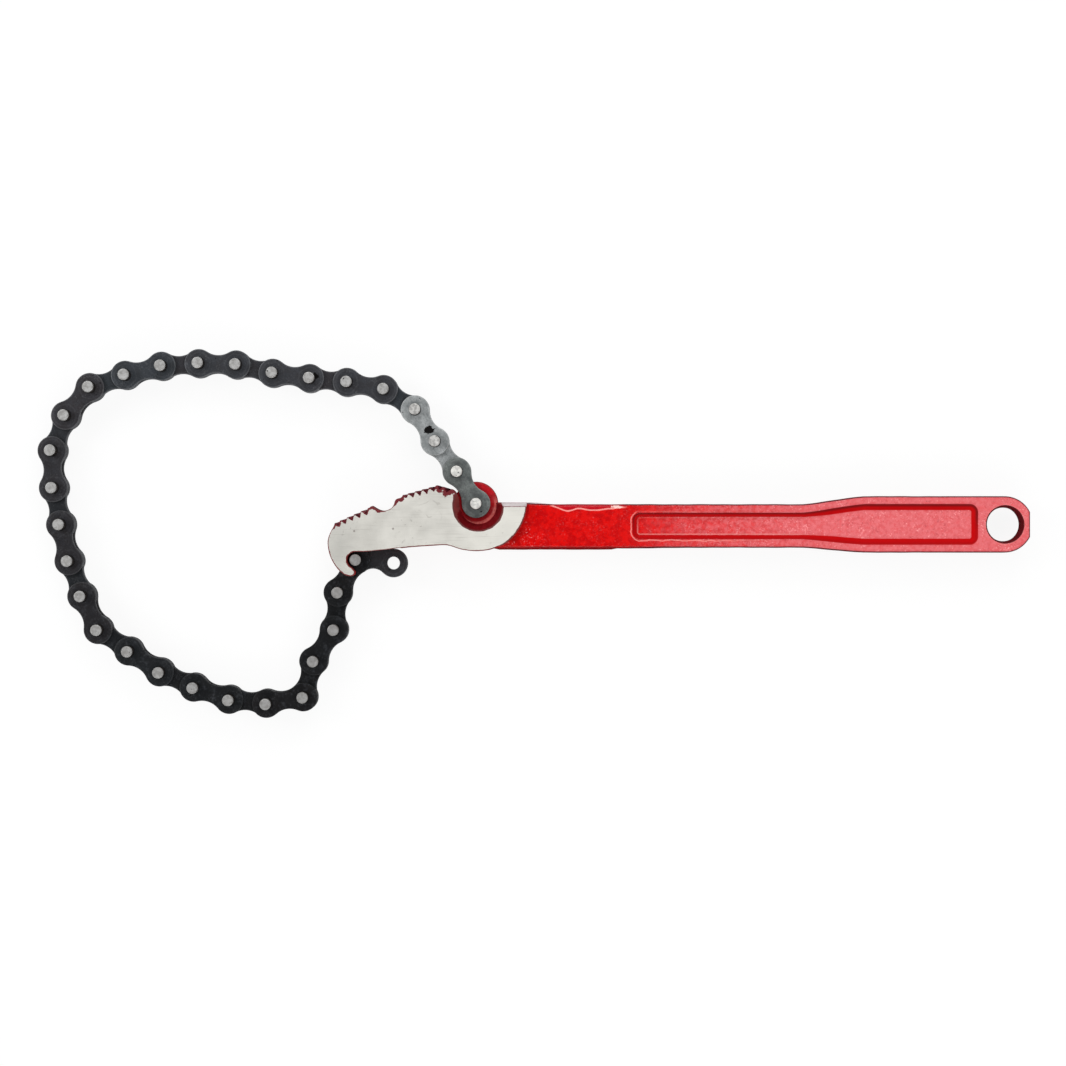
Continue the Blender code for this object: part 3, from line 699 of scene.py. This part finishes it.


# The red paint: one thick dipped coat, clear red on the neck, chalky pink with painted sheen and speckled on
# the grip, with painted glints, and with painted shade on the sides, in the gullets and in the holes
RED, BRIGHT_RED, DEEP_RED, WALL_RED = tone(186, 0, 3), tone(212, 8, 6), tone(88, 14, 18), tone(186, 0, 5)
CHALK_AND_SHEEN_PINK, PINK_GLINT, WINE_SPECK = tone(219, 101, 106), tone(250, 168, 170), tone(150, 26, 36)
SIDE_SHADE_RED, POCKET_SHADE_RED, HANG_HOLE_SHADE_RED = tone(56, 4, 10), tone(112, 0, 4), tone(92, 8, 14)
GULLET_SHADE_RED, GULLET_SHADE_PATCH, HEAD_RIM_SHADE_RED = tone(48, 8, 14), tone(136, 26, 46), tone(46, 22, 24)
EYE_SHADE_RED, EYE_SHINE, STRIP_RED = tone(158, 24, 38), tone(214, 112, 106), tone(170, 16, 36)
BARE_STEEL, WEAR_AND_HIGHLIGHT_PINK, SCUFF = tone(112, 70, 74), tone(244, 158, 150), tone(252, 214, 206)
FLASH_GREY = tone(186, 176, 180)
# along the handle: where the chalky pink with its painted sheen starts on the neck and on the grip, and where
# it turns patchy
NECK_CHALK_AND_SHEEN, GRIP_CHALK_AND_SHEEN, PATCHY = (0.038, 0.070), (0.05, 0.13), (0.07, 0.13)
# the wavy lower edge of the hand-ground strip along the neck's upper edge, and its scuffed end
NECK_LINE = ((0.0068, 0.01190), (0.0142, 0.00965), (0.0190, 0.01050), (0.0262, 0.00990), (0.0390, 0.01120))
LINE_WIDTH = (0.00044, 0.00016)
SCUFF_PLACE, SCUFF_HALF, SCUFF_LENGTH = (0.0350, 0.0112), 0.0013, 3.6
# where the pink painted glints crowd, near the head, and how far that reaches
CORNER_GLINTS, CORNER_REACH = (-0.0050, -0.0040, 0.0135), 0.0110
# heights over the middle plane, from hidden to shown: the handle's face, and the sunk panel's walls and floor
ON_FACE, ON_WALL, ON_FLOOR = (0.0030, 0.0036), (0.0029, 0.0032), (0.0026, 0.0031)
RUN_WIDTH, RUN_WAVE, FLOOR_LINE = (0.00034, 0.00010), 0.0016, 0.00250
EYE_SHINE_RADIUS, EYE_SHINE_WIDTH = 0.0085, (0.0010, 0.0003)
red_paint, tree, shader, place = finish("red_paint_finish")
pin_1 = anchor.tolist()
x, y, z = split(place)
height = abs(z - HEAD_HALF)
ripple = cloudy(place, 230) - 0.5
chalk_and_sheen = faded(x, *NECK_CHALK_AND_SHEEN, 0, 0.52) + faded(x, *GRIP_CHALK_AND_SHEEN, 0, 0.42)
patchy = faded(cloudy(place, 520, 4, 0.7), 0.36, 0.64, faded(x, *PATCHY, 0.3, 0.7), 1.12)
corner = spotted(place, CORNER_GLINTS, CORNER_REACH, 0.4) * 0.38
colour = layered(
    blended(faded(cloudy(place, 420, 3, 0.6), 0.38, 0.62), RED, BRIGHT_RED),
    (chalk_and_sheen * patchy, CHALK_AND_SHEEN_PINK),
    # pink painted glints, most where the sheen is and by the head
    (speckled(place, 1400, 0.50) * (most(chalk_and_sheen * 0.55, corner) + 0.10), PINK_GLINT),
    (speckled(place, 1150, 0.45) * chalk_and_sheen * 0.45, WINE_SPECK),
)
# painted shade on the sides, less on the lower neck and deepest round the pocket, a painted shadow at the
# foot of the step beside the ground face, painted shade along the head's edges beside its faces, and darker
# along the flash line
side = faded(facing(tree), 0.96, 0.70)
lower_neck = faded(y, -0.003, -0.006) * faded(x, 0.050, 0.038)
pocket_gap = apart(place, pin_1)
step_foot = apart(put(x, y), (pin_1[0], pin_1[1] + HEAD_LIFT, 0)) + ripple * 0.0014
step_foot = faded(step_foot, HEAD_RADIUS + 0.0013, HEAD_RADIUS + 0.0006) * faded(x, 0, -0.004, 1, 0)
head_rim_shade = faded(height, 0.0076, 0.0081) * faded(x, 0, -0.002)
depth = read(tree, "gullet_grime")
flash = faded(height + ripple * 0.0012, 0.0020, 0.0014) * (depth < 0.05)
top_flash = faded(y, 0.0124, 0.0126) * faded(x, 0.0070, 0.0060) * faded(height, 0.0042, 0.0036)
colour = layered(
    colour, (side * (0.9 - lower_neck * 0.45), SIDE_SHADE_RED),
    (side * faded(pocket_gap, 0.0150, 0.0135) * 0.75, POCKET_SHADE_RED),
    (step_foot * 0.85, SIDE_SHADE_RED), (head_rim_shade * 0.9, HEAD_RIM_SHADE_RED), (flash * 0.7, SIDE_SHADE_RED),
    (top_flash * faded(x, -0.0140, -0.0130), FLASH_GREY),
)
# the neck's wavy line as a pale painted highlight, darker red above it, kept to the flat faces and the rounds
# beside them
low = NECK_LINE[0][1]
for (x0, y0), (x1, y1) in zip(NECK_LINE, NECK_LINE[1:]):
    low = faded(x, x0, x1, 0, y1 - y0) + low
wavy = y - low + ripple * 0.0010
on_face = faded(height, *ON_FACE)
on_top = faded(x, 0.0065, 0.0085) * faded(x, 0.0400, 0.0375) * on_face
scuff = apart(put((x - SCUFF_PLACE[0]) / SCUFF_LENGTH, y - SCUFF_PLACE[1]), (0, 0, 0))
scuff = faded(scuff, SCUFF_HALF, 0.3 * SCUFF_HALF) * on_face
colour = layered(
    colour, (faded(wavy, 0, 0.0005) * on_top * 0.6, STRIP_RED),
    (faded(abs(wavy), *LINE_WIDTH) * on_top * 0.85, WEAR_AND_HIGHLIGHT_PINK),
    (faded(scuff * 0.55 + cloudy(place, 900, 3, 0.7), 0.86, 1.04) * 0.85, SCUFF),
)
# painted shade on the sunk panel's walls, deepest on the upper one, a pale painted highlight round its lip
# and another along its floor, pale wear on sharp edges, and painted shade in the hang hole
lip = read(tree, "lip_gap")
broad = faded(x, 0.108, 0.130, 0, 0.0006)
wall = faded(lip + broad, -0.0022, -0.0019) * faded(lip - broad * 0.5, -0.0002, -0.0005)
wall = wall * faded(height, *ON_WALL)
wall_top = faded(lip, -0.0016, -0.0005) * faded(y, 0, 0.0080, 0.25, 0.75)
run = faded(abs(lip - 0.0003 + ripple * RUN_WAVE), *RUN_WIDTH) * faded(x, 0.110, 0.060)
floor_line = faded(abs(lip + FLOOR_LINE), *RUN_WIDTH) * faded(x, 0.126, 0.104)
run = most(run * faded(y, 0.0100, 0.0080), floor_line * faded(y, 0.0080, 0, 0.1, 0.7))
hole = apart(put(x, y), (pin_1[0] + HANG_HOLE_X, pin_1[1] + HANG_HOLE_Y, 0))
hole = faded(hole, 0.0082, 0.0077)
colour = layered(
    colour, (wall, blended(wall_top, WALL_RED, DEEP_RED)), (run * faded(height, *ON_FLOOR) * 0.6, WEAR_AND_HIGHLIGHT_PINK),
    (worn(place, 0.00035, 0.9) * 0.12, WEAR_AND_HIGHLIGHT_PINK), (hole, HANG_HOLE_SHADE_RED),
)
# the eye's face in painted shade, and a pale painted highlight on its rounded edge on the handle's side,
# where the plate doesn't cover it
eye_face = faded(pocket_gap, 0.0099, 0.0097) * faded(height, 0.0022, 0.0019)
eye_rim = faded(abs(pocket_gap - EYE_SHINE_RADIUS), *EYE_SHINE_WIDTH) * faded(height, 0.0018, 0.0016)
eye_rim = eye_rim * faded(y, pin_1[1] + 0.0040, pin_1[1] - 0.0010)
# painted shade deep in the gullets, fainter in the pocket and on the eye; bare steel on the tooth tips
hollow_shade = faded(depth + ripple * 0.25, 0.10, 0.85)
tip = (depth > 0.65) * (depth < 0.76) * faded(cloudy(place, 800, 2), 0.4, 0.6) * faded(x, -0.0300, -0.0340)
colour = layered(
    colour, (eye_face * 0.45, EYE_SHADE_RED),
    (hollow_shade, blended(faded(cloudy(place, 700, 3, 0.7), 0.42, 0.62), GULLET_SHADE_RED, GULLET_SHADE_PATCH)),
    (eye_rim * faded(cloudy(place, 900), 0.35, 0.6, 0.5, 0.85), EYE_SHINE), (tip * 0.45, BARE_STEEL),
)
dull = most(most(most(side, flash), wall), most(hollow_shade, hole))
wired(shader.inputs, {
    "Base Color": colour, "Roughness": faded(cloudy(place, 90), 0.3, 0.7, 0.26, 0.38) + dull * 0.5,
    "Coat Weight": (1 - dull) * 0.2, "Coat Roughness": 0.16, "Specular IOR Level": 0.10,
    "Normal": bumped(cloudy(place, 260, 2) + cloudy(place, 1500) * 0.5, 0.6, 0.00022),
})

# The head's ground faces: bare warm grey steel off a belt grinder, with paint left creeping in at the rim
GROUND_STEEL, GROUND_DULL, GROUND_MARK = tone(214, 212, 205), tone(202, 200, 193), tone(120, 112, 106)
GROUND_WARM, GROUND_HOOK, GROUND_SLOPE = tone(227, 225, 217), tone(184, 183, 177), tone(190, 179, 182)
CREPT_PAINT = tone(100, 10, 22)
GRIND_ANGLE, GRIND_SCALE = math.radians(38), (60, 1900, 60)
DOT_PLACES, DOT_RADIUS = ((-0.0757, 0.0010), (-0.0593, 0.0020)), 0.0006
CURL_PLACE, CURL_REACH = (-0.0430, 0.0098, 0.0170), 0.0080
ground_steel, tree, shader, place = finish("ground_steel_finish")
drawn = worked("ShaderNodeMapping", {"Vector": place, "Rotation": (0, 0, GRIND_ANGLE), "Scale": GRIND_SCALE})
scratches = cloudy(drawn, 1)
x = split(place)[0]
# faint curling scratches beside the pocket
curl = faded(abs(cloudy(place, 130, 1) - 0.5), 0.034, 0)
curl = curl * spotted(place, CURL_PLACE, CURL_REACH, 0.4) * faded(cloudy(place, 420), 0.40, 0.58)
dots = [spotted(place, (*dot, 2 * HEAD_HALF), DOT_RADIUS) * 0.7 for dot in DOT_PLACES]
level = faded(facing(tree), 0.75, 0.95)
creep = read(tree, "edge_reach") / read(tree, "paint_creep") + (cloudy(place, 520) - 0.5) * 2.2
creep = faded(creep, 1.05, 0.85) * (level * 0.8 + 0.2)
colour = layered(
    blended(faded(cloudy(place, 75), 0.35, 0.65), GROUND_STEEL, GROUND_DULL),
    (faded(x, -0.044, -0.018, 0, 0.7), GROUND_WARM), (faded(x, -0.071, -0.084, 0, 0.55), GROUND_HOOK),
    (faded(scratches, 0.55, 0.8) * 0.35, GROUND_MARK), (speckled(place, 900, 0.3) * 0.5, GROUND_MARK),
    *((dot, GROUND_MARK) for dot in dots), (curl * 0.28, GROUND_MARK),
    ((1 - level) * 0.8, GROUND_SLOPE), (creep, CREPT_PAINT),
)
wired(shader.inputs, {
    "Base Color": colour, "Metallic": faded(creep, 0, 1, 0.30, 0),
    "Roughness": faded(cloudy(place, 200), 0.3, 0.7, 0.42, 0.55),
    "Normal": bumped(scratches + creep * 0.8, 0.3, 0.00008),
})
for material in (red_paint, ground_steel):
    forging.data.materials.append(material)
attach(forging, "wrench_body")
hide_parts("wrench_body")

# The chain: thirty links of stamped and blackened steel plates on a riveted pin at each end. An outer link
# is two plates with its pins pressed in, an inner link is two plates that turn on its neighbours' pins.
PLATE_THICKNESS, PLATE_EDGE = 0.0014, 0.00030
OUTER_LEVEL, INNER_LEVEL = 0.00255, 0.00085
PIN_RADIUS, PIN_HALF = 0.0024, 0.00825
PLATE_SIDES, PIN_SIDES, PUNCH_SIDES = 132, 40, 48
# the free end's plates are nearly straight along their back
END_LINK_WAIST, END_LINK_BACK = 0.0031, 0.0054
# share of the outline, share of the edge's round, share of half the thickness, from the lower middle up
PLATE_ROWS = mirrored((
    (0, 1, -1), (0.35, 1, -1), (0.65, 1, -1), (0.85, 1, -1), (1, 1, -1), (1, 0.5, -0.93), (1, 0.15, -0.75),
    (1, 0, -0.45), (1, 0, 0),
))
PIN_ROWS = mirrored((
    (0, 0, -0.984), (0.3, 0, -0.987), (0.55, 0, -0.993), (0.76, 0, -1), (0.84, 0, -0.998), (0.92, 0, -0.978),
    (1, 0, -0.9515), (1, 0, -0.6), (1, 0, 0),
))
chain_tree, given, out = grouped("chain_link", "Geometry", {
    "Pitch": "Float", "End Radius": "Float", "Waist": "Float", "Left Waist": "Float", "Thickness": "Float",
    "Edge": "Float", "Level": "Float", "Pin Radius": "Float", "Pin Half": "Float", "Hole Radius": "Float",
    "Has Pins": "Bool", "Place": "Vector", "Heading": "Float", "Number": "Float", "Finish": "Material",
}, {"Link": "Geometry"})


def along_rows(share, column):
    """A row's value by its share of the way from the lower middle to the upper one."""
    node = added(chain_tree, "ShaderNodeFloatCurve", {"Value": share})
    node.mapping.use_clip = False
    points = node.mapping.curves[0].points
    points[0].location, points[-1].location = (0, column[0]), (1, column[-1])
    for i, value in enumerate(column[1:-1], 1):
        points.new(i / (len(column) - 1), value)
    for point in points:
        point.handle_type = "VECTOR"
    node.mapping.update()
    return Value(node.outputs[0])


def stored(shape, name, value, kind="FLOAT"):
    return worked("GeometryNodeStoreNamedAttribute", {
        "Geometry": shape, "Name": name, "Value": value}, data_type=kind, domain="POINT")


def swept(rows, sides, outline, half, edge, middle):
    """A closed solid: a grid wrapped round the outline and over the rows, marked with the reach inwards."""
    grid = worked("GeometryNodeMeshGrid", {
        "Size X": 1, "Size Y": 1, "Vertices X": sides + 1, "Vertices Y": len(rows)}, "Mesh", chain_tree)
    across, along, _ = split(worked("GeometryNodeInputPosition", {}, 0, chain_tree))
    turn = (across + 0.5) * (2 * math.pi)
    out, ease, level = (along_rows(along + 0.5, column) for column in zip(*rows))
    eased = ease * edge
    radius = outline(turn, eased) * out
    spot = put(radius * calc("COSINE", turn) + middle, radius * calc("SINE", turn), half * level)
    caught = added(chain_tree, "GeometryNodeCaptureAttribute", {"Geometry": grid})
    caught.capture_items.new("FLOAT", "Reach")
    wired(caught.inputs, {1: eased + radius * ((1 - out) / most(out, 0.2))})
    moved = worked("GeometryNodeSetPosition", {"Geometry": Value(caught.outputs[0]), "Position": spot})
    closed = worked("GeometryNodeMergeByDistance", {"Geometry": moved, "Distance": 0.000001})
    return stored(closed, "edge_reach", Value(caught.outputs[1]))


def waisted(turn, eased):
    """How far a plate's outline lies from its middle, in the direction turn."""
    c, s = abs(calc("COSINE", turn)), abs(calc("SINE", turn))
    h = given["Pitch"] * 0.5
    left = calc("SINE", turn) > 0
    end = given["End Radius"] - eased
    waist = mixed(left, given["Waist"], given["Left Waist"]) - eased
    hollow = (h ** 2 + waist ** 2 - end ** 2) / ((end - waist) * 2)
    both, lift = hollow + end, hollow + waist
    at_end = s * (h * hollow / both) < c * (end * lift / both)
    round_end = h * c + calc("SQRT", most(end ** 2 - (h * s) ** 2, 0))
    side = lift * s - calc("SQRT", most(hollow ** 2 - (lift * c) ** 2, 0))
    return mixed(at_end, side, round_end)


def twice(shape, step):
    """The shape where it is and once more a step away."""
    row = worked("GeometryNodeMeshLine", {"Count": 2, "Offset": step}, mode="OFFSET")
    copies = worked("GeometryNodeInstanceOnPoints", {"Points": row, "Instance": shape})
    return worked("GeometryNodeRealizeInstances", {0: copies})


plate = swept(PLATE_ROWS, PLATE_SIDES, waisted, given["Thickness"] * 0.5, given["Edge"], given["Pitch"] * 0.5)
pin = swept(PIN_ROWS, PIN_SIDES, lambda turn, eased: given["Pin Radius"], given["Pin Half"], 0, 0)
one_pitch = put(given["Pitch"])
punch = worked("GeometryNodeMeshCylinder", {
    "Vertices": PUNCH_SIDES, "Radius": given["Hole Radius"], "Depth": given["Thickness"] * 3}, "Mesh")
punched = worked("GeometryNodeMeshBoolean", {
    "Mesh 1": plate, "Mesh 2": twice(punch, one_pitch)}, operation="DIFFERENCE", solver="EXACT")
plate = worked("GeometryNodeSwitch", {
    "Switch": given["Has Pins"], "False": punched, "True": plate}, input_type="GEOMETRY")
plates = worked("GeometryNodeTransform", {
    "Geometry": twice(plate, put(0, 0, given["Level"] * 2)),
    "Translation": put(0, 0, given["Level"] * -1)})
pins = stored(twice(pin, one_pitch), "pin_part", 1)
pins = worked("GeometryNodeSwitch", {"Switch": given["Has Pins"], "True": pins}, input_type="GEOMETRY")
joined = added(chain_tree, "GeometryNodeJoinGeometry", {0: pins})
wired(joined.inputs, {0: plates})
marked = Value(joined.outputs[0])
spot = worked("GeometryNodeInputPosition", {}, 0, chain_tree)
marked = stored(stored(marked, "plate_place", spot, "FLOAT_VECTOR"), "link_number", given["Number"])
turned_link = worked("GeometryNodeTransform", {
    "Geometry": marked, "Translation": given["Place"], "Rotation": put(0, 0, given["Heading"])})
whole = worked("GeometryNodeRealizeInstances", {0: turned_link})
wired(out, {"Link": worked("GeometryNodeSetMaterial", {"Geometry": whole, "Material": given["Finish"]})})

# The blackened steel of the chain, in three tones, rubbed lighter on rims and round the pins. A link's
# number tells how far it is from the head: the far ones are darker.
BLUE_CAST, BROWN_CAST, SHADE = tone(66, 78, 84), tone(72, 64, 66), tone(30, 29, 31)
FAR_SIDE_BLACK, HOLE_BLACK, STAIN = tone(14, 14, 15), tone(14, 13, 13), tone(12, 10, 10)
DULL_PATCH = tone(84, 87, 93)
PIN_SIDE_SHADE, PIN_SIDE_SHADE_BROWN, PIN_END_FAR_TONE = tone(26, 23, 22), tone(60, 54, 50), tone(112, 109, 108)
NEAR_PIN_GRIME, PIN_GRIME = tone(196, 195, 192), tone(152, 151, 149)
RING_RADIUS, RING_WIDTH, PIN_TOP = 0.0047, (0.00045, 0.0001), (0.00775, 0.00795)
AFTER_PALE, TO_FAR_SIDE, FREE_END = (3.4, 3.6), (8, 25), (29.4, 29.6)
blackened, steel, out = grouped("blackened_steel", "Shader", {
    "Body": "Color", "Rubbed": "Color", "Grime": "Color", "Pin End": "Color", "Wear": "Float",
}, {"Color": "Color", "Roughness": "Float", "Metallic": "Float", "Height": "Float"})
local = read(blackened, "plate_place", "Vector")
number = read(blackened, "link_number")
shift = put(number * 0.137, number * 0.071, number)
place = worked("ShaderNodeVectorMath", {0: local, 1: shift}, operation="ADD")
spread, grain = cloudy(place, 260, 4), cloudy(place, 1500, 2)
x, y, z = split(local)
height = abs(z)
flat = put(x, y)
gap = calc("MINIMUM", apart(flat, (0, 0, 0)), apart(flat, (LINK_PITCH, 0, 0)))
ring = faded(abs(gap + (spread - 0.5) * 0.0022 - RING_RADIUS), *RING_WIDTH)
chance = worked("ShaderNodeTexWhiteNoise", {"W": number}, "Value", noise_dimensions="1D")
dark_link = faded(number, *AFTER_PALE)
rubs = most(ring * 0.12, worn(place, 0.00060, 0.35) * 0.45) * steel["Wear"]
far_darkening = faded(number, *TO_FAR_SIDE, 0, 0.88) - faded(number, *FREE_END, 0, 0.60)
patches = faded(cloudy(place, 420, 4, 0.7), 0.50, 0.70) * faded(number, *TO_FAR_SIDE, 0.06, 0.30)
flecks = speckled(place, 1700, 0.55) * steel["Wear"]
pin_part = read(blackened, "pin_part")
pin_end = pin_part * faded(height, *PIN_TOP)
end_colour = blended(
    faded(cloudy(place, 700), 0.35, 0.65), steel["Pin End"],
    blended(faded(number, 1.4, 3.6), NEAR_PIN_GRIME, PIN_GRIME))
# the lower, inner plates and the sides of the pins get painted shade; links towards the far side are darker
colour = layered(
    blended(faded(spread, 0.3, 0.7), steel["Body"], steel["Grime"]),
    (faded(grain, 0.42, 0.66, 0, 0.5), steel["Grime"]),
    (dark_link * 0.30, blended(faded(chance, 0.2, 0.8), BLUE_CAST, BROWN_CAST)),
    (faded(height, 0.0017, 0.0016) * dark_link * 0.22, SHADE), (rubs, steel["Rubbed"]), (far_darkening, FAR_SIDE_BLACK),
    (patches, DULL_PATCH), (flecks * faded(number, *TO_FAR_SIDE, 0.34, 0.13), steel["Rubbed"]),
    (faded(gap, 0.0027, 0.0025, 0, 0.8), HOLE_BLACK),
    (pin_part, blended(faded(grain, 0.35, 0.7), PIN_SIDE_SHADE, PIN_SIDE_SHADE_BROWN)),
    (pin_end, blended(faded(number, 12, 29, 0, 0.42), end_colour, PIN_END_FAR_TONE)),
)
wired(out, {
    "Color": colour, "Roughness": faded(spread, 0.3, 0.7, 0.38, 0.56),
    "Metallic": faded(most(flecks, pin_end), 0, 1, 0.45, 0.35), "Height": spread + grain * 0.5,
})


def chain_finish(name, body, rubbed_tone, grime_tone, pin_tone, wear, stain_place, stain_reach):
    """One shade of the chain's blackened steel, with one black stain."""
    material, tree, shader, place = finish(name)
    steel = added(tree, "ShaderNodeGroup", {
        "Body": body, "Rubbed": rubbed_tone, "Grime": grime_tone, "Pin End": pin_tone, "Wear": wear,
    }, node_tree=blackened).outputs
    ragged = (cloudy(place, 620) - 0.5) * 2.4
    stain = faded(spotted(place, stain_place, stain_reach, 0.1) + ragged, 0.45, 0.55)
    wired(shader.inputs, {
        "Base Color": blended(stain, Value(steel["Color"]), STAIN), "Roughness": Value(steel["Roughness"]),
        "Metallic": Value(steel["Metallic"]), "Normal": bumped(Value(steel["Height"]), 0.45, 0.00010),
        "Specular IOR Level": 0.25,
    })
    return material


STEELS = {
    "link_steel_dark": (
        tone(67, 70, 76), tone(122, 123, 126), tone(42, 42, 45), tone(178, 178, 177), 0.7,
        (-0.0925, 0.0668, 0.0118), 0.0026),
    "link_steel_grey": (
        tone(130, 136, 134), tone(150, 152, 150), tone(84, 88, 88), tone(228, 227, 222), 0.6,
        (-0.0222, 0.0092, 0.0118), 0.0006),
    "link_steel_pale": (
        tone(186, 190, 191), tone(184, 185, 184), tone(122, 126, 127), tone(208, 207, 204), 0.7,
        (-0.0447, 0.0440, 0.0118), 0.0034),
}
FIRST_SLOTS = ("link_steel_grey", "link_steel_pale", "link_steel_pale")
SMOOTH_ANGLE = math.radians(32)
steels = {slot: chain_finish(slot + "_finish", *looks) for slot, looks in STEELS.items()}
link_inputs = {
    item.name: item.identifier for item in chain_tree.interface.items_tree if item.in_out == "INPUT"}
for i, (place, heading) in enumerate(zip(pivots, headings)):
    number = f"{i + 1:02d}"
    slot = FIRST_SLOTS[i] if i < len(FIRST_SLOTS) else "link_steel_dark"
    outer, last = i % 2 == 0, i == len(pivots) - 1
    carrier_mesh = bpy.data.meshes.new("link_maker")
    carrier = placed("link_maker", carrier_mesh)
    maker = carrier.modifiers.new("chain_link", "NODES")
    maker.node_group = chain_tree
    for title, value in {
        "Pitch": LINK_PITCH, "End Radius": PLATE_RADIUS, "Waist": END_LINK_WAIST if last else PLATE_WAIST,
        "Left Waist": END_LINK_BACK if last else PLATE_WAIST, "Thickness": PLATE_THICKNESS,
        "Edge": PLATE_EDGE, "Level": OUTER_LEVEL if outer else INNER_LEVEL, "Pin Radius": PIN_RADIUS,
        "Pin Half": PIN_HALF, "Hole Radius": BORE_RADIUS, "Has Pins": outer, "Place": place.tolist(),
        "Heading": heading, "Number": float(i + 1), "Finish": steels[slot],
    }.items():
        maker[link_inputs[title]] = value
    mesh = finished_mesh(carrier)
    bpy.data.objects.remove(carrier)
    bpy.data.meshes.remove(carrier_mesh)
    mesh.shade_smooth()
    mesh.set_sharp_from_angle(angle=SMOOTH_ANGLE)
    link = placed("chain_link_" + number, mesh)
    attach(link, "link_" + number)
    if outer:
        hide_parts("outer_link_" + number)
    else:
        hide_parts(f"inner_plate_{number}_upper", f"inner_plate_{number}_lower")

# The stage: a pale floor under the wrench, an even white surrounding, and a camera straight above
FLOOR_REACH = 3
FLOOR_WHITENING = 0.90
VIEW_ANGLE = math.radians(25.56)
CAMERA_PLACE = (-0.00024, 0.00019, 1.0085)
floor_mesh = bpy.data.meshes.new("floor")
corners = [(x * FLOOR_REACH, y * FLOOR_REACH, 0) for x, y in ((-1, -1), (1, -1), (1, 1), (-1, 1))]
floor_mesh.from_pydata(corners, [], [(0, 1, 2, 3)])
floor = placed("floor", floor_mesh)
floor_paint, tree, shader, place = finish("floor_paint")
wired(shader.inputs, {
    "Base Color": blended(cloudy(place, 3), tone(250, 250, 250), tone(247, 247, 247)), "Roughness": 0.8})
# as the camera sees it the floor is nearly white, with a faint shadow of the wrench left on it
white = worked("ShaderNodeEmission", {"Color": (1, 1, 1, 1), "Strength": 1}, 0, tree)
whitening = faded(apart(place, (0, 0, 0)), 0.30, 0.90, FLOOR_WHITENING, 1)
seen = worked("ShaderNodeLightPath", {}, "Is Camera Ray", tree) * whitening
wired(tree.nodes["Material Output"].inputs, {
    "Surface": worked("ShaderNodeMixShader", {0: seen, 1: Value(shader.outputs[0]), 2: white})})
floor_mesh.materials.append(floor_paint)

surroundings = bpy.data.worlds.new("surroundings")
surroundings.use_nodes = True
tree = surroundings.node_tree
seen = worked("ShaderNodeLightPath", {}, "Is Camera Ray", tree)
rise = split(worked("ShaderNodeTexCoord", {}, "Generated", tree))[2]
glow = faded(rise, 0.10, 0.50, 0.12, 0.84) * faded(rise, 0.78, 0.96, 1, 0.06)
wired(tree.nodes["Background"].inputs, {"Strength": mixed(seen, glow, 1), "Color": (1, 1, 1, 1)})
bpy.context.scene.world = surroundings
for name, spot, size, power in (
    ("overhead_softbox", (0.36, 0.02, 1.05), (0.22, 0.40), 0.9),
    ("left_softbox", (-1.1, 0.35, 0.75), (0.6, 0.8), 6.2),
    ("front_softbox", (0.2, -1.15, 0.8), (1.2, 0.5), 6.6),
    ("back_softbox", (0.1, 1.15, 0.8), (1.2, 0.5), 7.7),
):
    lamp = bpy.data.lights.new(name, "AREA")
    lamp.shape = "RECTANGLE"
    lamp.size, lamp.size_y = size
    lamp.energy = power
    holder = placed(name, lamp)
    holder.location = spot
    holder.rotation_euler = (-Vector(spot)).to_track_quat("-Z", "Y").to_euler()

camera = placed("camera", bpy.data.cameras.new("camera"))
camera.data.sensor_fit = "HORIZONTAL"
camera.data.angle = VIEW_ANGLE
camera.location = CAMERA_PLACE
bpy.context.scene.camera = camera
bpy.context.scene.view_settings.view_transform = "Standard"
